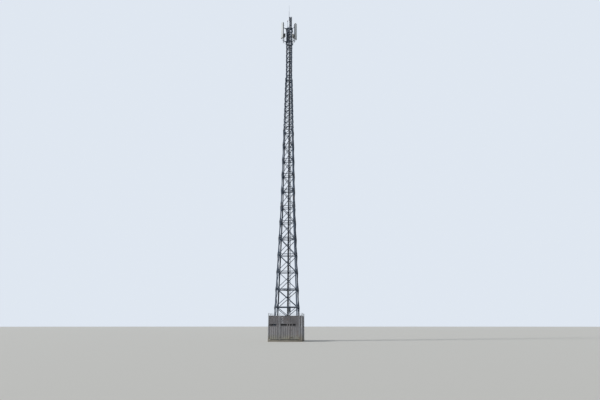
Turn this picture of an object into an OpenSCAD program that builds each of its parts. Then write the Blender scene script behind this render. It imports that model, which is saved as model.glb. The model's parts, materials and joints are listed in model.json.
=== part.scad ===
// Lattice tower for mobile phone antennas in a small fenced yard.
// Four leaning angle-section legs with a slight bend, braced on every side,
// carry a parallel head with three panel antennas. A plumb ladder and the
// feeder cables climb inside. Millimetres, +Z up, the gate faces -Y, the
// ground is at Z = 0.

/* [Foundation] */
// Width of slab that shows outside the fence posts
slab_margin = 10; // [5:5:60]
// Height of the slab above the ground
slab_h = 150; // [100:5:200]
// Height of the concrete blocks under the feet
block_h = 80; // [40:5:120]
// How far the tower's axis stands to the right of the slab's centre
tower_x = 20; // [0:10:170]

/* [Tower] */
// Distance between the outer faces of the legs at their feet
base_side = 2350; // [2100:10:2400]
// Distance between the outer faces of the legs where they bend
mid_side = 1320; // [1200:10:1450]
// Distance between the outer faces of the legs below the head
top_side = 700; // [690:10:800]
// Height of the first ring of horizontals
first_level = 1410; // [1200:10:1600]
// Height of one tall bracing panel
tall_panel = 1670; // [1500:10:1700]
// Number of tall bracing panels
tall_count = 12; // [9:1:12]
// Number of tall bracing panels below the bend of the legs
bend_count = 7; // [6:1:8]
// Height of one short bracing panel
short_panel = 635; // [560:5:660]
// Number of short bracing panels
short_count = 10; // [6:1:10]
// Flange width of the lowest leg angles
leg_w = 120; // [100:5:140]
// Flange thickness of the lowest leg angles
leg_t = 12; // [9:1:14]
// Flange width of the bracing angles between the tall panels
brace_w = 60; // [45:5:70]
// Flange thickness of the bracing angles between the tall panels
brace_t = 6; // [5:1:8]

/* [Head] */
// Distance between the outer faces of the head legs
head_side = 600; // [590:10:640]
// Height of one bracing panel of the head
head_panel = 585; // [540:5:600]
// Number of bracing panels of the head
head_count = 11; // [10:1:12]
// Flange width of the head legs
head_leg_w = 70; // [60:5:80]
// Flange thickness of the head legs
head_leg_t = 7; // [6:1:9]
// Flange width of the head bracing angles
head_brace_w = 40; // [30:5:45]
// Flange thickness of the head bracing angles
head_brace_t = 4; // [3:1:6]

/* [Ladder and cables] */
// Overall width of the ladder
ladder_w = 300; // [280:5:320]
// Distance from one rung to the next
rung_pitch = 300; // [250:10:330]
// Height of the ladder above the top of the head
ladder_rise = 1890; // [1000:10:2000]
// Outer diameter of one feeder cable
feeder_d = 30; // [24:1:32]
// Number of feeder cables
feeder_count = 5; // [3:1:5]

/* [Antennas] */
// Length of a panel antenna
antenna_len = 2030; // [1800:10:2150]
// Width of a panel antenna
antenna_w = 330; // [300:5:350]
// Depth of a panel antenna
antenna_d = 160; // [140:5:175]
// Distance of the antenna pipes from the tower's axis
pipe_r = 800; // [780:10:860]
// Outer diameter of the antenna pipes
pipe_d = 76; // [60:1:89]
// Gap between a pipe and the back of its antenna
antenna_gap = 60; // [50:5:90]
// Length of the lightning rod above the ladder
rod_len = 1650; // [1500:50:2200]

/* [Fence] */
// Distance from the legs' outer faces to the fence's, with the tower centred
yard_gap = 380; // [370:10:600]
// Outer width of the square fence posts
post_w = 60; // [50:5:70]
// Height of the fence above the ground
fence_top = 2280; // [2150:10:2400]
// Height of the top edge of the closed lower sheets
sheet_top = 1340; // [1250:10:1450]
// Height of the open slot above the sheets of the fence's front
slot_h = 170; // [120:10:200]
// Height of the posts above the fence, for the wires
wire_rise = 230; // [180:10:300]
// Width of the frame tubes of the fence and the gate
frame_w = 40; // [30:5:45]
// Width of the strip between the gate's right post and the corner
strip_w = 160; // [100:10:180]
// Clear width between the gate posts
gate_w = 1725; // [1500:5:1740]
// Distance between the upright slats above the sheets
slat_pitch = 75; // [60:5:100]
// Distance between the ribs of the sheets
rib_pitch = 170; // [120:10:200]

/* [Hidden] */

galvanised = "#8b8f92";
concrete_grey = "#a19c92";
radome_white = "#d9dcd8";
radio_grey = "#b9bcbb";
cable_black = "#17181a";
sheet_grey = "#74757b";
lamp_red = "#a02a22";
box_green = "#6b7878";

// Gap left between pieces that are bolted face to face
seat = 0.3;
// Clearance round moving pieces
swing_gap = 6;

// Feet
plate_t = 20;
plate_w = 320;
plate_out = 100;
block_edge = 30;
rib_h = 140;
rib_t = 10;
plate_low = slab_h + block_h;
foot_top = plate_low + plate_t;
fence_side = base_side + 2 * yard_gap;
slab_side = fence_side + 2 * slab_margin;

// The tapering part: every height follows from the panel sizes
taper_mid = first_level + tall_count * tall_panel;
taper_top = taper_mid + short_count * short_panel;
bend_z = first_level + bend_count * tall_panel;
low_run = (base_side - mid_side) / 2;
high_run = (mid_side - top_side) / 2;
low_lean = atan(low_run / (bend_z - foot_top));
high_lean = atan(high_run / (taper_top - bend_z));
low_leg_lean = atan(sqrt(2) * low_run / (bend_z - foot_top));
high_leg_lean = atan(sqrt(2) * high_run / (taper_top - bend_z));

// Leg angles get lighter towards the top
mid_leg_w = leg_w * 5 / 6;
mid_leg_t = leg_t * 5 / 6;
top_leg_w = leg_w * 2 / 3;
top_leg_t = leg_t * 2 / 3;
leg_change = taper_mid + 200;
splice_len = 500;

// Bracing
short_brace_w = brace_w * 3 / 4;
short_brace_t = brace_t * 5 / 6;
gusset_w = 150;
gusset_h = 210;
gusset_t = brace_t + 2;
gusset_edge = 8;
plan_w = 50;
plan_t = 5;

// The head
ring_t = 12;
head_base = taper_top + ring_t;
head_top = head_base + head_count * head_panel;

// Ladder and cables, measured from the tower's axis
ladder_x = 130;
ladder_y = 60;
rail_d = 45;
rail_t = 50;
rung_d = 28;
guard_w = 40;
guard_d = 20;
ladder_top = head_top + ladder_rise;
crossbar_w = 40;
feeder_x = 70;
feeder_pitch = feeder_d + 2;
hanger_h = 60;
hanger_d = feeder_d + 12;
bar_y = ladder_y + rail_d + seat;
feeder_y = bar_y + crossbar_w + seat + hanger_d / 2;
entry_w = 320;
entry_d = 220;
entry_h = 320;
entry_lid = 24;
entry_y = ladder_y + rail_d + 25 + entry_d / 2;

// Junction box behind the ladder's right rail, under the second crossbar
junction_w = 150;
junction_d = 130;
junction_h = 400;
junction_x = ladder_x + ladder_w / 2 - 40;
junction_lip = 8;

// Antenna mounts: left, right and back sector, and where their antennas face
sector = [218, 322, 102];
facing = [232, 342, 102];
ring_tube = 50;
ring_in = head_side + 2 * (seat + head_brace_w + seat);
ring_out = ring_in + 2 * ring_tube;
ring_apart = antenna_len - 290;
clamp_w = 18;
arm_w = 50;
upper_ring_z = head_top - ring_tube;
lower_ring_z = upper_ring_z - ring_apart;
end_plate_t = 8;
end_plate_w = 130;
end_plate_edge = 25;
saddle_d = 40;
saddle_edge = 15;
antenna_rise = [290, 120, 800];
antenna_z = [for (r = antenna_rise) lower_ring_z + r];
pipe_tail = 250;
pipe_low = lower_ring_z - pipe_tail;
pipe_high = [antenna_z[0] + antenna_len - 120, antenna_z[1] + antenna_len + 30, antenna_z[2] + antenna_len + 30];
front_round = 40;
back_round = 12;
crown_r = 600;
cap_h = 20;
cap_lip = 3;
jaw_t = 18;
jaw_w = 130;
jaw_h = 80;
jaw_bolt_d = 12;
ear_t = 6;
bracket_at = [165, antenna_len - 205];
radio_h = 420;
radio_w = 300;
radio_d = 130;
radio_up = 290;
radio_gap = 30;
radio_cap = 14;
fin_t = 5;
fin_gap = 17;
fin_d = 45;
connector_d = 26;
connector_h = 34;
connector_y = antenna_w / 3;
loop_d = 16;
loop_drop = 10;

// Jumper cables from three feeders to the radios of the left, right and back
// sector, as points from the tower's axis and the underside of the lower ring
jumper_d = 20;
jumper_feeder = [0, feeder_count - 1, floor(feeder_count / 2)];
jumper_route = [
  [
    [-40, 165, -100], [-110, 160, -65], [-200, 145, -60], [-300, 130, -60], [-395, 110, -70],
    [-440, 10, -90], [-465, -140, -85], [-490, -260, -20], [-535, -365, 130], [-547, -385, 300]
  ],
  [
    [150, 165, -100], [190, 160, -65], [240, 150, -60], [300, 130, -60], [395, 105, -70],
    [450, 20, -90], [480, -110, -80], [500, -230, -10], [508, -330, 100], [505, -410, 200]
  ],
  [
    [66, 170, -90], [40, 195, 20], [-10, 250, 120], [-45, 320, 170], [-75, 430, 210],
    [-105, 560, 260], [-138, 645, 400]
  ]
];

// Short pole that carries the lamp, on the back of the upper ring
lamp_pole_x = -240;
lamp_pole_d = 42;
lamp_pole_h = 1500;
lamp_r = 45;

// Fence
half = fence_side / 2;
foot_gap = 45;
fence_low = slab_h + foot_gap;
slat_t = 3;
slat_gap = 12;
slat_rail = 30;
strip_edge = 20;
sheet_t = 3;
rib_depth = 14;
stub_w = 34;
strand_d = 4;
post_foot_w = 26;
post_foot_t = 8;
post_top = fence_top + 12;

// Gate
gate_right = half - 2 * post_w - strip_w;
gate_x = gate_right - gate_w;
hinge_r = 9;
pin_r = 5;
hinge_h = 50;
hinge_y = -half - hinge_r - swing_gap;
leaf_w = (gate_w - 3 * swing_gap) / 2;
leaf_low = fence_low + 15;
leaf_top = fence_top - 15;
hinge_levels = [leaf_low + 150, (leaf_low + leaf_top) / 2, leaf_top - 250];
bolt_z = 400;
bolt_d = 16;
bolt_len = 280;
bolt_plate = 3;
bolt_plate_h = 70;
keeper_w = 34;
keeper_h = 50;

// Parts of each front panel's length where its slot is closed
left_bay_blanks = [[0.705, 1]];
left_leaf_blanks = [[0.725, 0.83]];
right_leaf_blanks = [[0, 0.345], [0.665, 0.76]];

// Distance between the outer faces of the legs at height z
function side_at(z) = z < bend_z
  ? base_side - 2 * low_run * (z - foot_top) / (bend_z - foot_top)
  : mid_side - 2 * high_run * (z - bend_z) / (taper_top - bend_z);

// Height of level i of the tall panels; the one at the bend stays below it
function level_z(i) = first_level + i * tall_panel - (i == bend_count ? gusset_h / 2 + 5 : 0);

// Flat strip from p to q: part of the width of an angle bar, from its edge
module strip(p, q, width, part) {
  d = q - p;
  translate(p)
    rotate(atan2(d.y, d.x))
      translate([0, -width / 2])
        square([norm(d), part]);
}

// Fused angle bars: flat flanges on Z = 0, the other flanges standing on them
module angle_bars(ends, width, wall) {
  linear_extrude(wall)
    for (e = ends) strip(e[0], e[1], width, width);
  linear_extrude(width)
    for (e = ends) strip(e[0], e[1], width, wall);
}

// Ends of two crossing diagonals, and of a horizontal
function crossing(low, high, half_low, half_high) = [
  [[-half_low, low], [half_high, high]],
  [[-half_high, high], [half_low, low]]
];
function level_bar(height, half_w) = [[[-half_w, height], [half_w, height]]];

// Local frame of one leaning side: X across, Y up the slope, Z outwards
module on_side(turn, from, lean) {
  translate([tower_x, 0, 0])
    rotate([0, 0, turn])
      translate([0, -side_at(from) / 2, from])
        rotate([90 - lean, 0, 0])
          translate([0, 0, seat])
            children();
}

module on_head_side(turn) {
  translate([tower_x, 0, 0])
    rotate([0, 0, turn])
      translate([0, -head_side / 2, head_base])
        rotate([90, 0, 0])
          translate([0, 0, seat])
            children();
}

// Plates with cut corners that join the bars to the legs at each level
module gussets(spots, width, tall, wall) {
  cut = width / 4;
  linear_extrude(wall)
    for (p = spots, s = [-1, 1])
      translate([s * (p.x - width), p.y])
        polygon([
          [s * width, -tall / 2], [s * width, tall / 2], [s * cut, tall / 2],
          [0, tall / 2 - cut], [0, cut - tall / 2], [s * cut, -tall / 2]
        ]);
}

// Crossed bars, horizontals and gussets of tall panels on one leaning side
module tall_bracing(starts, tops, inset, from, lean) {
  diagonals = [for (i = [0:len(tops) - 1])
    each crossing(
      (starts[i] - from) / cos(lean), (tops[i] - from) / cos(lean),
      side_at(starts[i]) / 2 - inset, side_at(tops[i]) / 2 - inset
    )];
  horizontals = [for (z = tops) each level_bar((z - from) / cos(lean), side_at(z) / 2 - inset)];
  spots = [for (z = tops) [side_at(z) / 2 - gusset_edge, (z - from) / cos(lean)]];
  angle_bars(concat(diagonals, horizontals), brace_w, brace_t);
  gussets(spots, gusset_w, gusset_h, gusset_t);
}

// Side of the tower from the feet to the bend
module lower_bracing(turn) {
  tops = [for (i = [0:bend_count]) level_z(i)];
  color(galvanised)
    on_side(turn, foot_top, low_lean)
      tall_bracing(concat([foot_top + rib_h], tops), tops, leg_w / 2, foot_top, low_lean);
}

// Side of the tower above the bend: tall panels, then short ones
module upper_bracing(turn) {
  inset = top_leg_w / 2;
  tall = [for (i = [bend_count + 1:tall_count]) level_z(i)];
  tops = [for (i = [1:short_count])
    taper_mid + i * short_panel - (i == short_count ? short_brace_w : 0)];
  starts = concat([taper_mid + brace_w / 2], tops);
  bars = [for (i = [0:short_count - 1])
    each concat(
      crossing(
        (starts[i] - bend_z) / cos(high_lean), (tops[i] - bend_z) / cos(high_lean),
        side_at(starts[i]) / 2 - inset, side_at(tops[i]) / 2 - inset
      ),
      level_bar((tops[i] - bend_z) / cos(high_lean), side_at(tops[i]) / 2 - inset)
    )];
  color(galvanised)
    on_side(turn, bend_z, high_lean) {
      tall_bracing(concat([bend_z + brace_w], tall), tall, mid_leg_w / 2, bend_z, high_lean);
      angle_bars(bars, short_brace_w, short_brace_t);
    }
}

module head_bracing(turn) {
  w = head_side / 2 - head_leg_w / 2;
  first = head_brace_w / 2 + ring_t;
  tops = [for (i = [1:head_count]) i * head_panel - (i == head_count ? head_brace_w / 2 : 0)];
  starts = concat([first], tops);
  bars = [for (i = [0:head_count - 1])
    each concat(crossing(starts[i], tops[i], w, w), level_bar(tops[i], w))];
  color(galvanised) on_head_side(turn)
    angle_bars(concat(level_bar(first, w), bars), head_brace_w, head_brace_t);
}

// Level diamonds of angle bars that keep the tower square, below the crossbars
module plan_bracing() {
  color(galvanised)
    for (i = [2:3:tall_count - 2]) {
      z = level_z(i) - crossbar_w / 2 - 2;
      translate([tower_x, 0, z])
        mirror([0, 0, 1]) {
          linear_extrude(plan_t) plan_diamond(side_at(z) / 2, plan_w);
          linear_extrude(plan_w) plan_diamond(side_at(z) / 2, plan_t);
        }
    }
}

module plan_diamond(r, part) {
  intersection() {
    square(2 * r, center = true);
    for (turn = [0:90:270])
      rotate(turn) strip([r + plan_w, -plan_w], [-plan_w, r + plan_w], plan_w, part);
  }
}

// Angle profile with its heel at the origin
module heel_profile(width, wall) {
  polygon([[0, 0], [width, 0], [width, wall], [wall, wall], [wall, width], [0, width]]);
}

// One leaning leg, lighter above its bend and again below the head
module tower_leg(turn) {
  low_len = (bend_z - foot_top) / cos(low_leg_lean);
  high_len = (taper_top - bend_z) / cos(high_leg_lean);
  change = (leg_change - bend_z) / cos(high_leg_lean);
  color(galvanised)
    translate([tower_x, 0, 0])
      rotate([0, 0, turn]) {
        leg_stretch(foot_top, bend_z, low_leg_lean) {
          leg_piece(-leg_w, low_len + leg_w, leg_w, leg_t);
          splice(low_len, leg_w, leg_t);
        }
        leg_stretch(bend_z, taper_top, high_leg_lean) {
          leg_piece(-mid_leg_w, change, mid_leg_w, mid_leg_t);
          leg_piece(change, high_len + leg_w, top_leg_w, top_leg_t);
          splice(0, mid_leg_w, mid_leg_t);
          splice(change, mid_leg_w, mid_leg_t);
        }
      }
}

// Stretch of a leg between two level cuts, with its heel's lower end at the
// corner of the tower
module leg_stretch(low, high, lean) {
  corner = side_at(low) / 2;
  intersection() {
    translate([-corner, -corner, low])
      rotate(a = lean, v = [-1, 1, 0])
        children();
    translate([-2 * corner, -2 * corner, low])
      cube([2 * corner, 2 * corner, high - low]);
  }
}

module leg_piece(from, to, width, wall) {
  translate([0, 0, from]) linear_extrude(to - from) heel_profile(width, wall);
}

// Short angle inside the leg, over a joint between two leg angles
module splice(at, width, wall) {
  translate([wall - 1, wall - 1, at - splice_len / 2])
    linear_extrude(splice_len)
      heel_profile(width - wall - 4, wall);
}

// Base plate with two upright ribs beyond the tips of the leg's flanges
module leg_foot() {
  free = plate_w - plate_out - leg_w - 12;
  translate([-plate_out, -plate_out, 0]) cube([plate_w, plate_w, plate_t]);
  for (s = [0, 1])
    mirror([s, -s, 0])
      translate([leg_w + 6, leg_t + 6, plate_t - 1])
        rotate([90, 0, 0])
          linear_extrude(rib_t)
              polygon([[0, 0], [free, 0], [free, 20], [12, rib_h], [0, rib_h]]);
}

module leg_feet() {
  color(galvanised)
    translate([tower_x, 0, plate_low])
      for (turn = [0:90:270])
        rotate([0, 0, turn])
          translate([-base_side / 2, -base_side / 2, 0])
            leg_foot();
}

module foundation_slab() {
  block_w = plate_w + 2 * block_edge;
  reach = base_side / 2 + plate_out + block_edge;
  color(concrete_grey) {
    translate([-slab_side / 2, -slab_side / 2, 0])
      cube([slab_side, slab_side, slab_h]);
    for (turn = [0:90:270])
      translate([tower_x, 0, slab_h - 1])
        rotate([0, 0, turn])
          translate([-reach, -reach, 0])
            cube([block_w, block_w, block_h + 1]);
  }
}

module square_ring(outer, inner, h) {
  linear_extrude(h)
    difference() {
      square(outer, center = true);
      square(inner, center = true);
    }
}

// Square plate ring that closes the taper and carries the head
module transition_frame() {
  color(galvanised)
    translate([tower_x, 0, taper_top])
      square_ring(top_side + 20, head_side - 2 * head_leg_t - 16, ring_t - seat);
}

module head_legs() {
  color(galvanised)
    translate([tower_x, 0, head_base])
      for (turn = [0:90:270])
        rotate([0, 0, turn])
          translate([-head_side / 2, -head_side / 2, 0])
            linear_extrude(head_top - head_base)
              heel_profile(head_leg_w, head_leg_t);
}

module ladder() {
  low = slab_h;
  rails = ladder_w / 2 - rail_t;
  rungs = floor((ladder_top - low - 100) / rung_pitch);
  color(galvanised) translate([tower_x + ladder_x, ladder_y, 0]) {
    for (s = [0, 1])
      mirror([s, 0, 0])
        translate([rails, 0, low])
          cube([rail_t, rail_d, ladder_top - low]);
    translate([-guard_w / 2, 0, low])
      cube([guard_w, guard_d, ladder_top - low]);
    for (i = [1:rungs])
      translate([-rails - 1, rail_d / 2, low + i * rung_pitch])
        rotate([0, 90, 0])
          cylinder(h = 2 * rails + 2, d = rung_d, $fn = 8);
  }
}

// Heights of the bars that hold the ladder and the cables inside the tower
crossbar_levels = concat(
  [for (i = [0:tall_count - 1]) level_z(i)],
  [for (i = [1:3:short_count - 1]) taper_mid + i * short_panel]
);
head_crossbar_levels = [for (i = [1:3:head_count - 1]) head_base + i * head_panel];

module ladder_crossbars() {
  color(galvanised) translate([tower_x, 0, 0]) {
    for (z = crossbar_levels) {
      span = side_at(z + crossbar_w / 2);
      translate([-span / 2, bar_y, z - crossbar_w / 2])
        cube([span, crossbar_w, crossbar_w]);
    }
    for (z = head_crossbar_levels)
      translate([-head_side / 2, bar_y, z - crossbar_w / 2])
        cube([head_side, crossbar_w, crossbar_w]);
  }
}

feeder_low = slab_h + entry_h + seat;
feeder_high = lower_ring_z - 150;
function feeder_at(i) = (i - (feeder_count - 1) / 2) * feeder_pitch;

module feeder_cables() {
  levels = concat(crossbar_levels, [for (z = head_crossbar_levels) if (z < feeder_high) z]);
  width = feeder_count * feeder_pitch + 10;
  color(cable_black) translate([tower_x + feeder_x, feeder_y, 0]) {
    for (i = [0:feeder_count - 1])
      translate([feeder_at(i), 0, feeder_low])
        cylinder(h = feeder_high - feeder_low, d = feeder_d, $fn = 24);
    for (z = levels)
      translate([-width / 2, -hanger_d / 2, z - hanger_h / 2])
        cube([width, hanger_d, hanger_h]);
  }
}

// Steel box with a lid that the cables enter the ground through
module cable_entry() {
  color(galvanised)
    translate([tower_x + feeder_x, entry_y, slab_h]) {
      translate([-entry_w / 2, -entry_d / 2, 0])
        cube([entry_w, entry_d, entry_h - entry_lid + 1]);
      translate([-entry_w / 2 - 10, -entry_d / 2 - 10, entry_h - entry_lid])
        cube([entry_w + 20, entry_d + 20, entry_lid]);
    }
}

// Small steel box with a door and a rain lip, behind the ladder's right rail
module junction_box() {
  top = level_z(1) - crossbar_w / 2 - 10;
  color(box_green)
    translate([tower_x + junction_x, bar_y, top - junction_h]) {
      translate([-junction_w / 2, 0, 0]) cube([junction_w, junction_d, junction_h - 3]);
      translate([-junction_w / 2 - junction_lip, 0, junction_h - 4])
        cube([junction_w + 2 * junction_lip, junction_d + junction_lip, 4]);
      translate([-junction_w / 2 + 6, junction_d - 1, 6])
        cube([junction_w - 12, 4, junction_h - 20]);
    }
}

// Tube rings round the head, with a block at each leg that clamps them on,
// and the short pole of the lamp
module mount_rings() {
  reach = head_side / 2 + seat;
  color(galvanised)
    translate([tower_x, 0, 0])
      for (z = [lower_ring_z, upper_ring_z])
        translate([0, 0, z]) {
          square_ring(ring_out, ring_in, ring_tube);
          for (turn = [0:90:270], s = [-1, 1])
            rotate([0, 0, turn])
              translate([s * (head_side / 2 - clamp_w / 2) - clamp_w / 2, -reach - head_brace_w - 1, 0])
                cube([clamp_w, head_brace_w + 1, ring_tube]);
        }
  color(galvanised)
    translate([tower_x + lamp_pole_x, (ring_in + ring_out) / 4, head_top - 1]) {
      cylinder(h = lamp_pole_h + 1, d = lamp_pole_d, $fn = 32);
      cylinder(h = 9, d = ring_tube, $fn = 32);
    }
}

// Point where the ray of sector i leaves the mount rings
function ring_exit(i) = ring_out / 2 / max(abs(cos(sector[i])), abs(sin(sector[i])));

// Frame of one sector's pipe: its axis at the origin, the antenna faces +X
module at_pipe(i) {
  rotate([0, 0, sector[i]])
    translate([pipe_r, 0, 0])
      rotate([0, 0, facing[i] - sector[i]])
        children();
}

// Arms with end plates, saddles and the pipe of one sector
module standoff(i) {
  clear = ring_out + 2 * seat;
  face = round(sector[i] / 90) * 90;
  side = ring_exit(i) * sin(sector[i] - face);
  color(galvanised)
    translate([tower_x, 0, 0]) {
      difference() {
        rotate([0, 0, sector[i]])
          for (z = [lower_ring_z, upper_ring_z])
            translate([0, -arm_w / 2, z])
              cube([pipe_r, arm_w, arm_w]);
        translate([-clear / 2, -clear / 2, lower_ring_z - arm_w])
          cube([clear, clear, upper_ring_z - lower_ring_z + 3 * arm_w]);
      }
      for (z = [lower_ring_z, upper_ring_z])
        rotate([0, 0, face])
          translate([clear / 2, side - end_plate_w / 2, z - end_plate_edge])
            cube([end_plate_t, end_plate_w, arm_w + 2 * end_plate_edge]);
      rotate([0, 0, sector[i]]) {
        for (z = [lower_ring_z, upper_ring_z])
          translate([pipe_r - (pipe_d + saddle_d) / 2, -pipe_d / 2 - saddle_edge, z - 5])
            cube([saddle_d, pipe_d + 2 * saddle_edge, arm_w + 10]);
        translate([pipe_r, 0, pipe_low])
          cylinder(h = pipe_high[i] - pipe_low, d = pipe_d, $fn = 32);
      }
    }
}

// Outline of a radome: flat back at X = -grow, rounded corners that run
// into a gently crowned front
module radome_profile(grow) {
  w = antenna_w / 2 + grow;
  crown_x = antenna_d + grow - crown_r;
  corner_y = w - front_round;
  corner_x = crown_x + sqrt(pow(crown_r - front_round, 2) - pow(corner_y, 2));
  half_angle = asin(corner_y / (crown_r - front_round));
  edge = [crown_r * cos(half_angle), crown_r * sin(half_angle)];
  for (s = [-1, 1]) {
    translate([back_round - grow, s * (w - back_round)]) circle(r = back_round, $fn = 24);
    translate([corner_x, s * corner_y]) circle(r = front_round, $fn = 48);
  }
  translate([-grow, back_round - w]) square([back_round, 2 * (w - back_round)]);
  translate([back_round - grow, -w]) square([corner_x + grow - back_round, 2 * w]);
  translate([corner_x - 1, -corner_y]) square([crown_x + edge.x - corner_x + 1, 2 * corner_y]);
  intersection() {
    translate([crown_x, 0]) circle(r = crown_r, $fn = 180);
    translate([crown_x + edge.x - 1, -edge.y]) square([crown_r, 2 * edge.y]);
  }
}

// Clamp round a pipe at the origin: two jaws, their bolts, and two ears that
// reach to X = reach
module pipe_clamp(reach) {
  near = pipe_d / 2 + seat;
  far = near + jaw_t;
  for (x = [near, -far])
    translate([x, -jaw_w / 2, -jaw_h / 2]) cube([jaw_t, jaw_w, jaw_h]);
  for (s = [-1, 1]) {
    translate([-far - jaw_bolt_d / 2, s * (jaw_w / 2 - jaw_bolt_d), 0])
      rotate([0, 90, 0])
        cylinder(h = 2 * far + jaw_bolt_d, d = jaw_bolt_d, $fn = 8);
    translate([far - 1, s * pipe_d / 2 - ear_t / 2, ear_t - jaw_h / 2])
      cube([reach - far + 2, ear_t, jaw_h - 2 * ear_t]);
  }
}

// Panel antenna with the clamps that hold it to its pipe
module panel_antenna(i) {
  back = pipe_d / 2 + antenna_gap;
  color(radome_white)
    translate([tower_x, 0, antenna_z[i]])
      at_pipe(i) {
        translate([back, 0, cap_h - 1])
          linear_extrude(antenna_len - 2 * cap_h + 2) radome_profile(0);
        for (z = [0, antenna_len - cap_h])
          translate([back, 0, z]) linear_extrude(cap_h) radome_profile(cap_lip);
        for (z = bracket_at)
          translate([0, 0, z]) pipe_clamp(back);
        for (x = [0.3, 0.7], s = [-1, 1])
          translate([back + x * antenna_d, s * connector_y, -connector_h])
            cylinder(h = connector_h + 1, d = connector_d, $fn = 16);
      }
}

// Comb-shaped section of a radio unit: fins face the tower at -X
module radio_profile() {
  fins = floor(radio_w / (fin_t + fin_gap));
  pitch = (radio_w - fin_t) / fins;
  translate([fin_d - 1, -radio_w / 2]) square([radio_d - fin_d + 1, radio_w]);
  for (k = [0:fins])
    translate([0, k * pitch - radio_w / 2]) square([fin_d, fin_t]);
}

module radio_units() {
  face = pipe_d / 2 + radio_gap;
  lip = 4;
  color(radio_grey)
    translate([tower_x, 0, 0])
      for (i = [0:2])
        translate([0, 0, antenna_z[i] + radio_up])
          at_pipe(i) {
            translate([-face - radio_d, 0, 0]) linear_extrude(radio_h) radio_profile();
            for (z = [0, radio_h - radio_cap])
              translate([-face - radio_d - lip, -radio_w / 2 - lip, z])
                cube([radio_d + lip, radio_w + 2 * lip, radio_cap]);
            translate([0, 0, radio_h / 2]) mirror([1, 0, 0]) pipe_clamp(face);
            for (s = [-1, 0, 1])
              translate([-face - radio_d / 2, s * connector_y, -connector_h])
                cylinder(h = connector_h + 1, d = connector_d, $fn = 16);
          }
}

// Loops from each antenna to its radio, and a cable from a feeder to each radio
module jumper_cables() {
  color(cable_black)
    translate([tower_x, 0, 0])
      for (i = [0:2]) {
        for (s = [-1, 1])
          at_pipe(i)
            translate([0, s * connector_y, antenna_z[i] - connector_h - seat])
              radio_loop();
        swept_tube(smooth_path(jumper_points(i)), jumper_d);
      }
}

// Cable that hangs down from an antenna and turns up to the radio behind it
module radio_loop() {
  out = pipe_d / 2 + antenna_gap + 0.3 * antenna_d;
  back = pipe_d / 2 + radio_gap + radio_d / 2;
  r = (out + back) / 2;
  translate([out, 0, -loop_drop]) cylinder(h = loop_drop, d = loop_d, $fn = 24);
  translate([-back, 0, -loop_drop]) cylinder(h = loop_drop + radio_up, d = loop_d, $fn = 24);
  translate([out - r, 0, -loop_drop])
    rotate([-90, 0, 0])
      rotate_extrude(angle = 180, $fn = 64) translate([r, 0]) circle(d = loop_d, $fn = 24);
}

// Points of one feeder's jumper cable, from the feeder's top to the radio
function jumper_points(i) =
  let(
    back = pipe_d / 2 + radio_gap + radio_d / 2,
    x = pipe_r * cos(sector[i]) - back * cos(facing[i]),
    y = pipe_r * sin(sector[i]) - back * sin(facing[i]),
    base = [0, 0, lower_ring_z],
    start = [feeder_x + feeder_at(jumper_feeder[i]), feeder_y, feeder_high + seat],
    end = [x, y, antenna_z[i] + radio_up - connector_h - seat]
  )
  concat(
    [start, start + [0, 0, 15]],
    [for (p = jumper_route[i]) base + p],
    [end - [0, 0, 60], end]
  );

// Path through the points with one more point in the middle of each stretch.
// The first and the last stretch stay straight
function smooth_path(p) = concat(
  [p[0], p[1]],
  [for (i = [1:len(p) - 3]) each [(9 * (p[i] + p[i + 1]) - p[i - 1] - p[i + 2]) / 16, p[i + 1]]],
  [p[len(p) - 1]]
);

function unit(v) = v / norm(v);

// Round tube along a path; its rings are turned square to the path
module swept_tube(path, d) {
  sides = 8;
  last = len(path) - 1;
  aside = unit([3, 2, 1]);
  rings = [for (i = [0:last])
    let(
      along = unit(path[min(i + 1, last)] - path[max(i - 1, 0)]),
      u = unit(cross(along, aside)),
      v = cross(along, u)
    )
    for (k = [0:sides - 1]) path[i] + d / 2 * (cos(k * 360 / sides) * u + sin(k * 360 / sides) * v)];
  polyhedron(
    points = rings,
    faces = concat(
      [[for (k = [0:sides - 1]) k]],
      [[for (k = [sides - 1:-1:0]) last * sides + k]],
      [for (i = [0:last - 1], k = [0:sides - 1]) let(n = (k + 1) % sides)
        each [
          [i * sides + k, (i + 1) * sides + k, (i + 1) * sides + n],
          [i * sides + k, (i + 1) * sides + n, i * sides + n]
        ]]
    )
  );
}

// Pointed rod on two brackets at the top of the ladder's left rail
module lightning_rod() {
  r = 16;
  x = ladder_x - ladder_w / 2 - 14 - r;
  tube = rod_len * 0.45 + 500;
  color(galvanised)
    translate([tower_x + x, ladder_y + rail_d / 2, ladder_top - 500]) {
      rotate_extrude($fn = 32)
        polygon([
          [0, 0], [r, 0], [r, tube - 20], [r / 2, tube], [r / 2, rod_len + 420],
          [0.5, rod_len + 500], [0, rod_len + 500]
        ]);
      for (z = [60, 380])
        translate([-r - 6, -22, z]) cube([2 * r + 20 - seat, 44, 40]);
    }
}

// Small lamp with a dome on top of its pole
module warning_lamp() {
  color(lamp_red)
    translate([tower_x + lamp_pole_x, (ring_in + ring_out) / 4, head_top + lamp_pole_h + seat]) {
      cylinder(h = lamp_r / 3, r = lamp_r * 1.2, $fn = 32);
      cylinder(h = lamp_r, r = lamp_r * 0.8, $fn = 32);
      translate([0, 0, lamp_r - 4]) cylinder(h = lamp_r + 4, r = lamp_r, $fn = 32);
      translate([0, 0, 2 * lamp_r]) sphere(r = lamp_r, $fn = 32);
    }
}

// Fence: posts at the corners, on the middle of three sides and at the gate
post_spots = [
  [-half, -half], [half - post_w, -half], [-half, half - post_w], [half - post_w, half - post_w],
  [-half, -post_w / 2], [half - post_w, -post_w / 2], [-post_w / 2, half - post_w],
  [gate_x - post_w, -half], [gate_right, -half]
];

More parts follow.
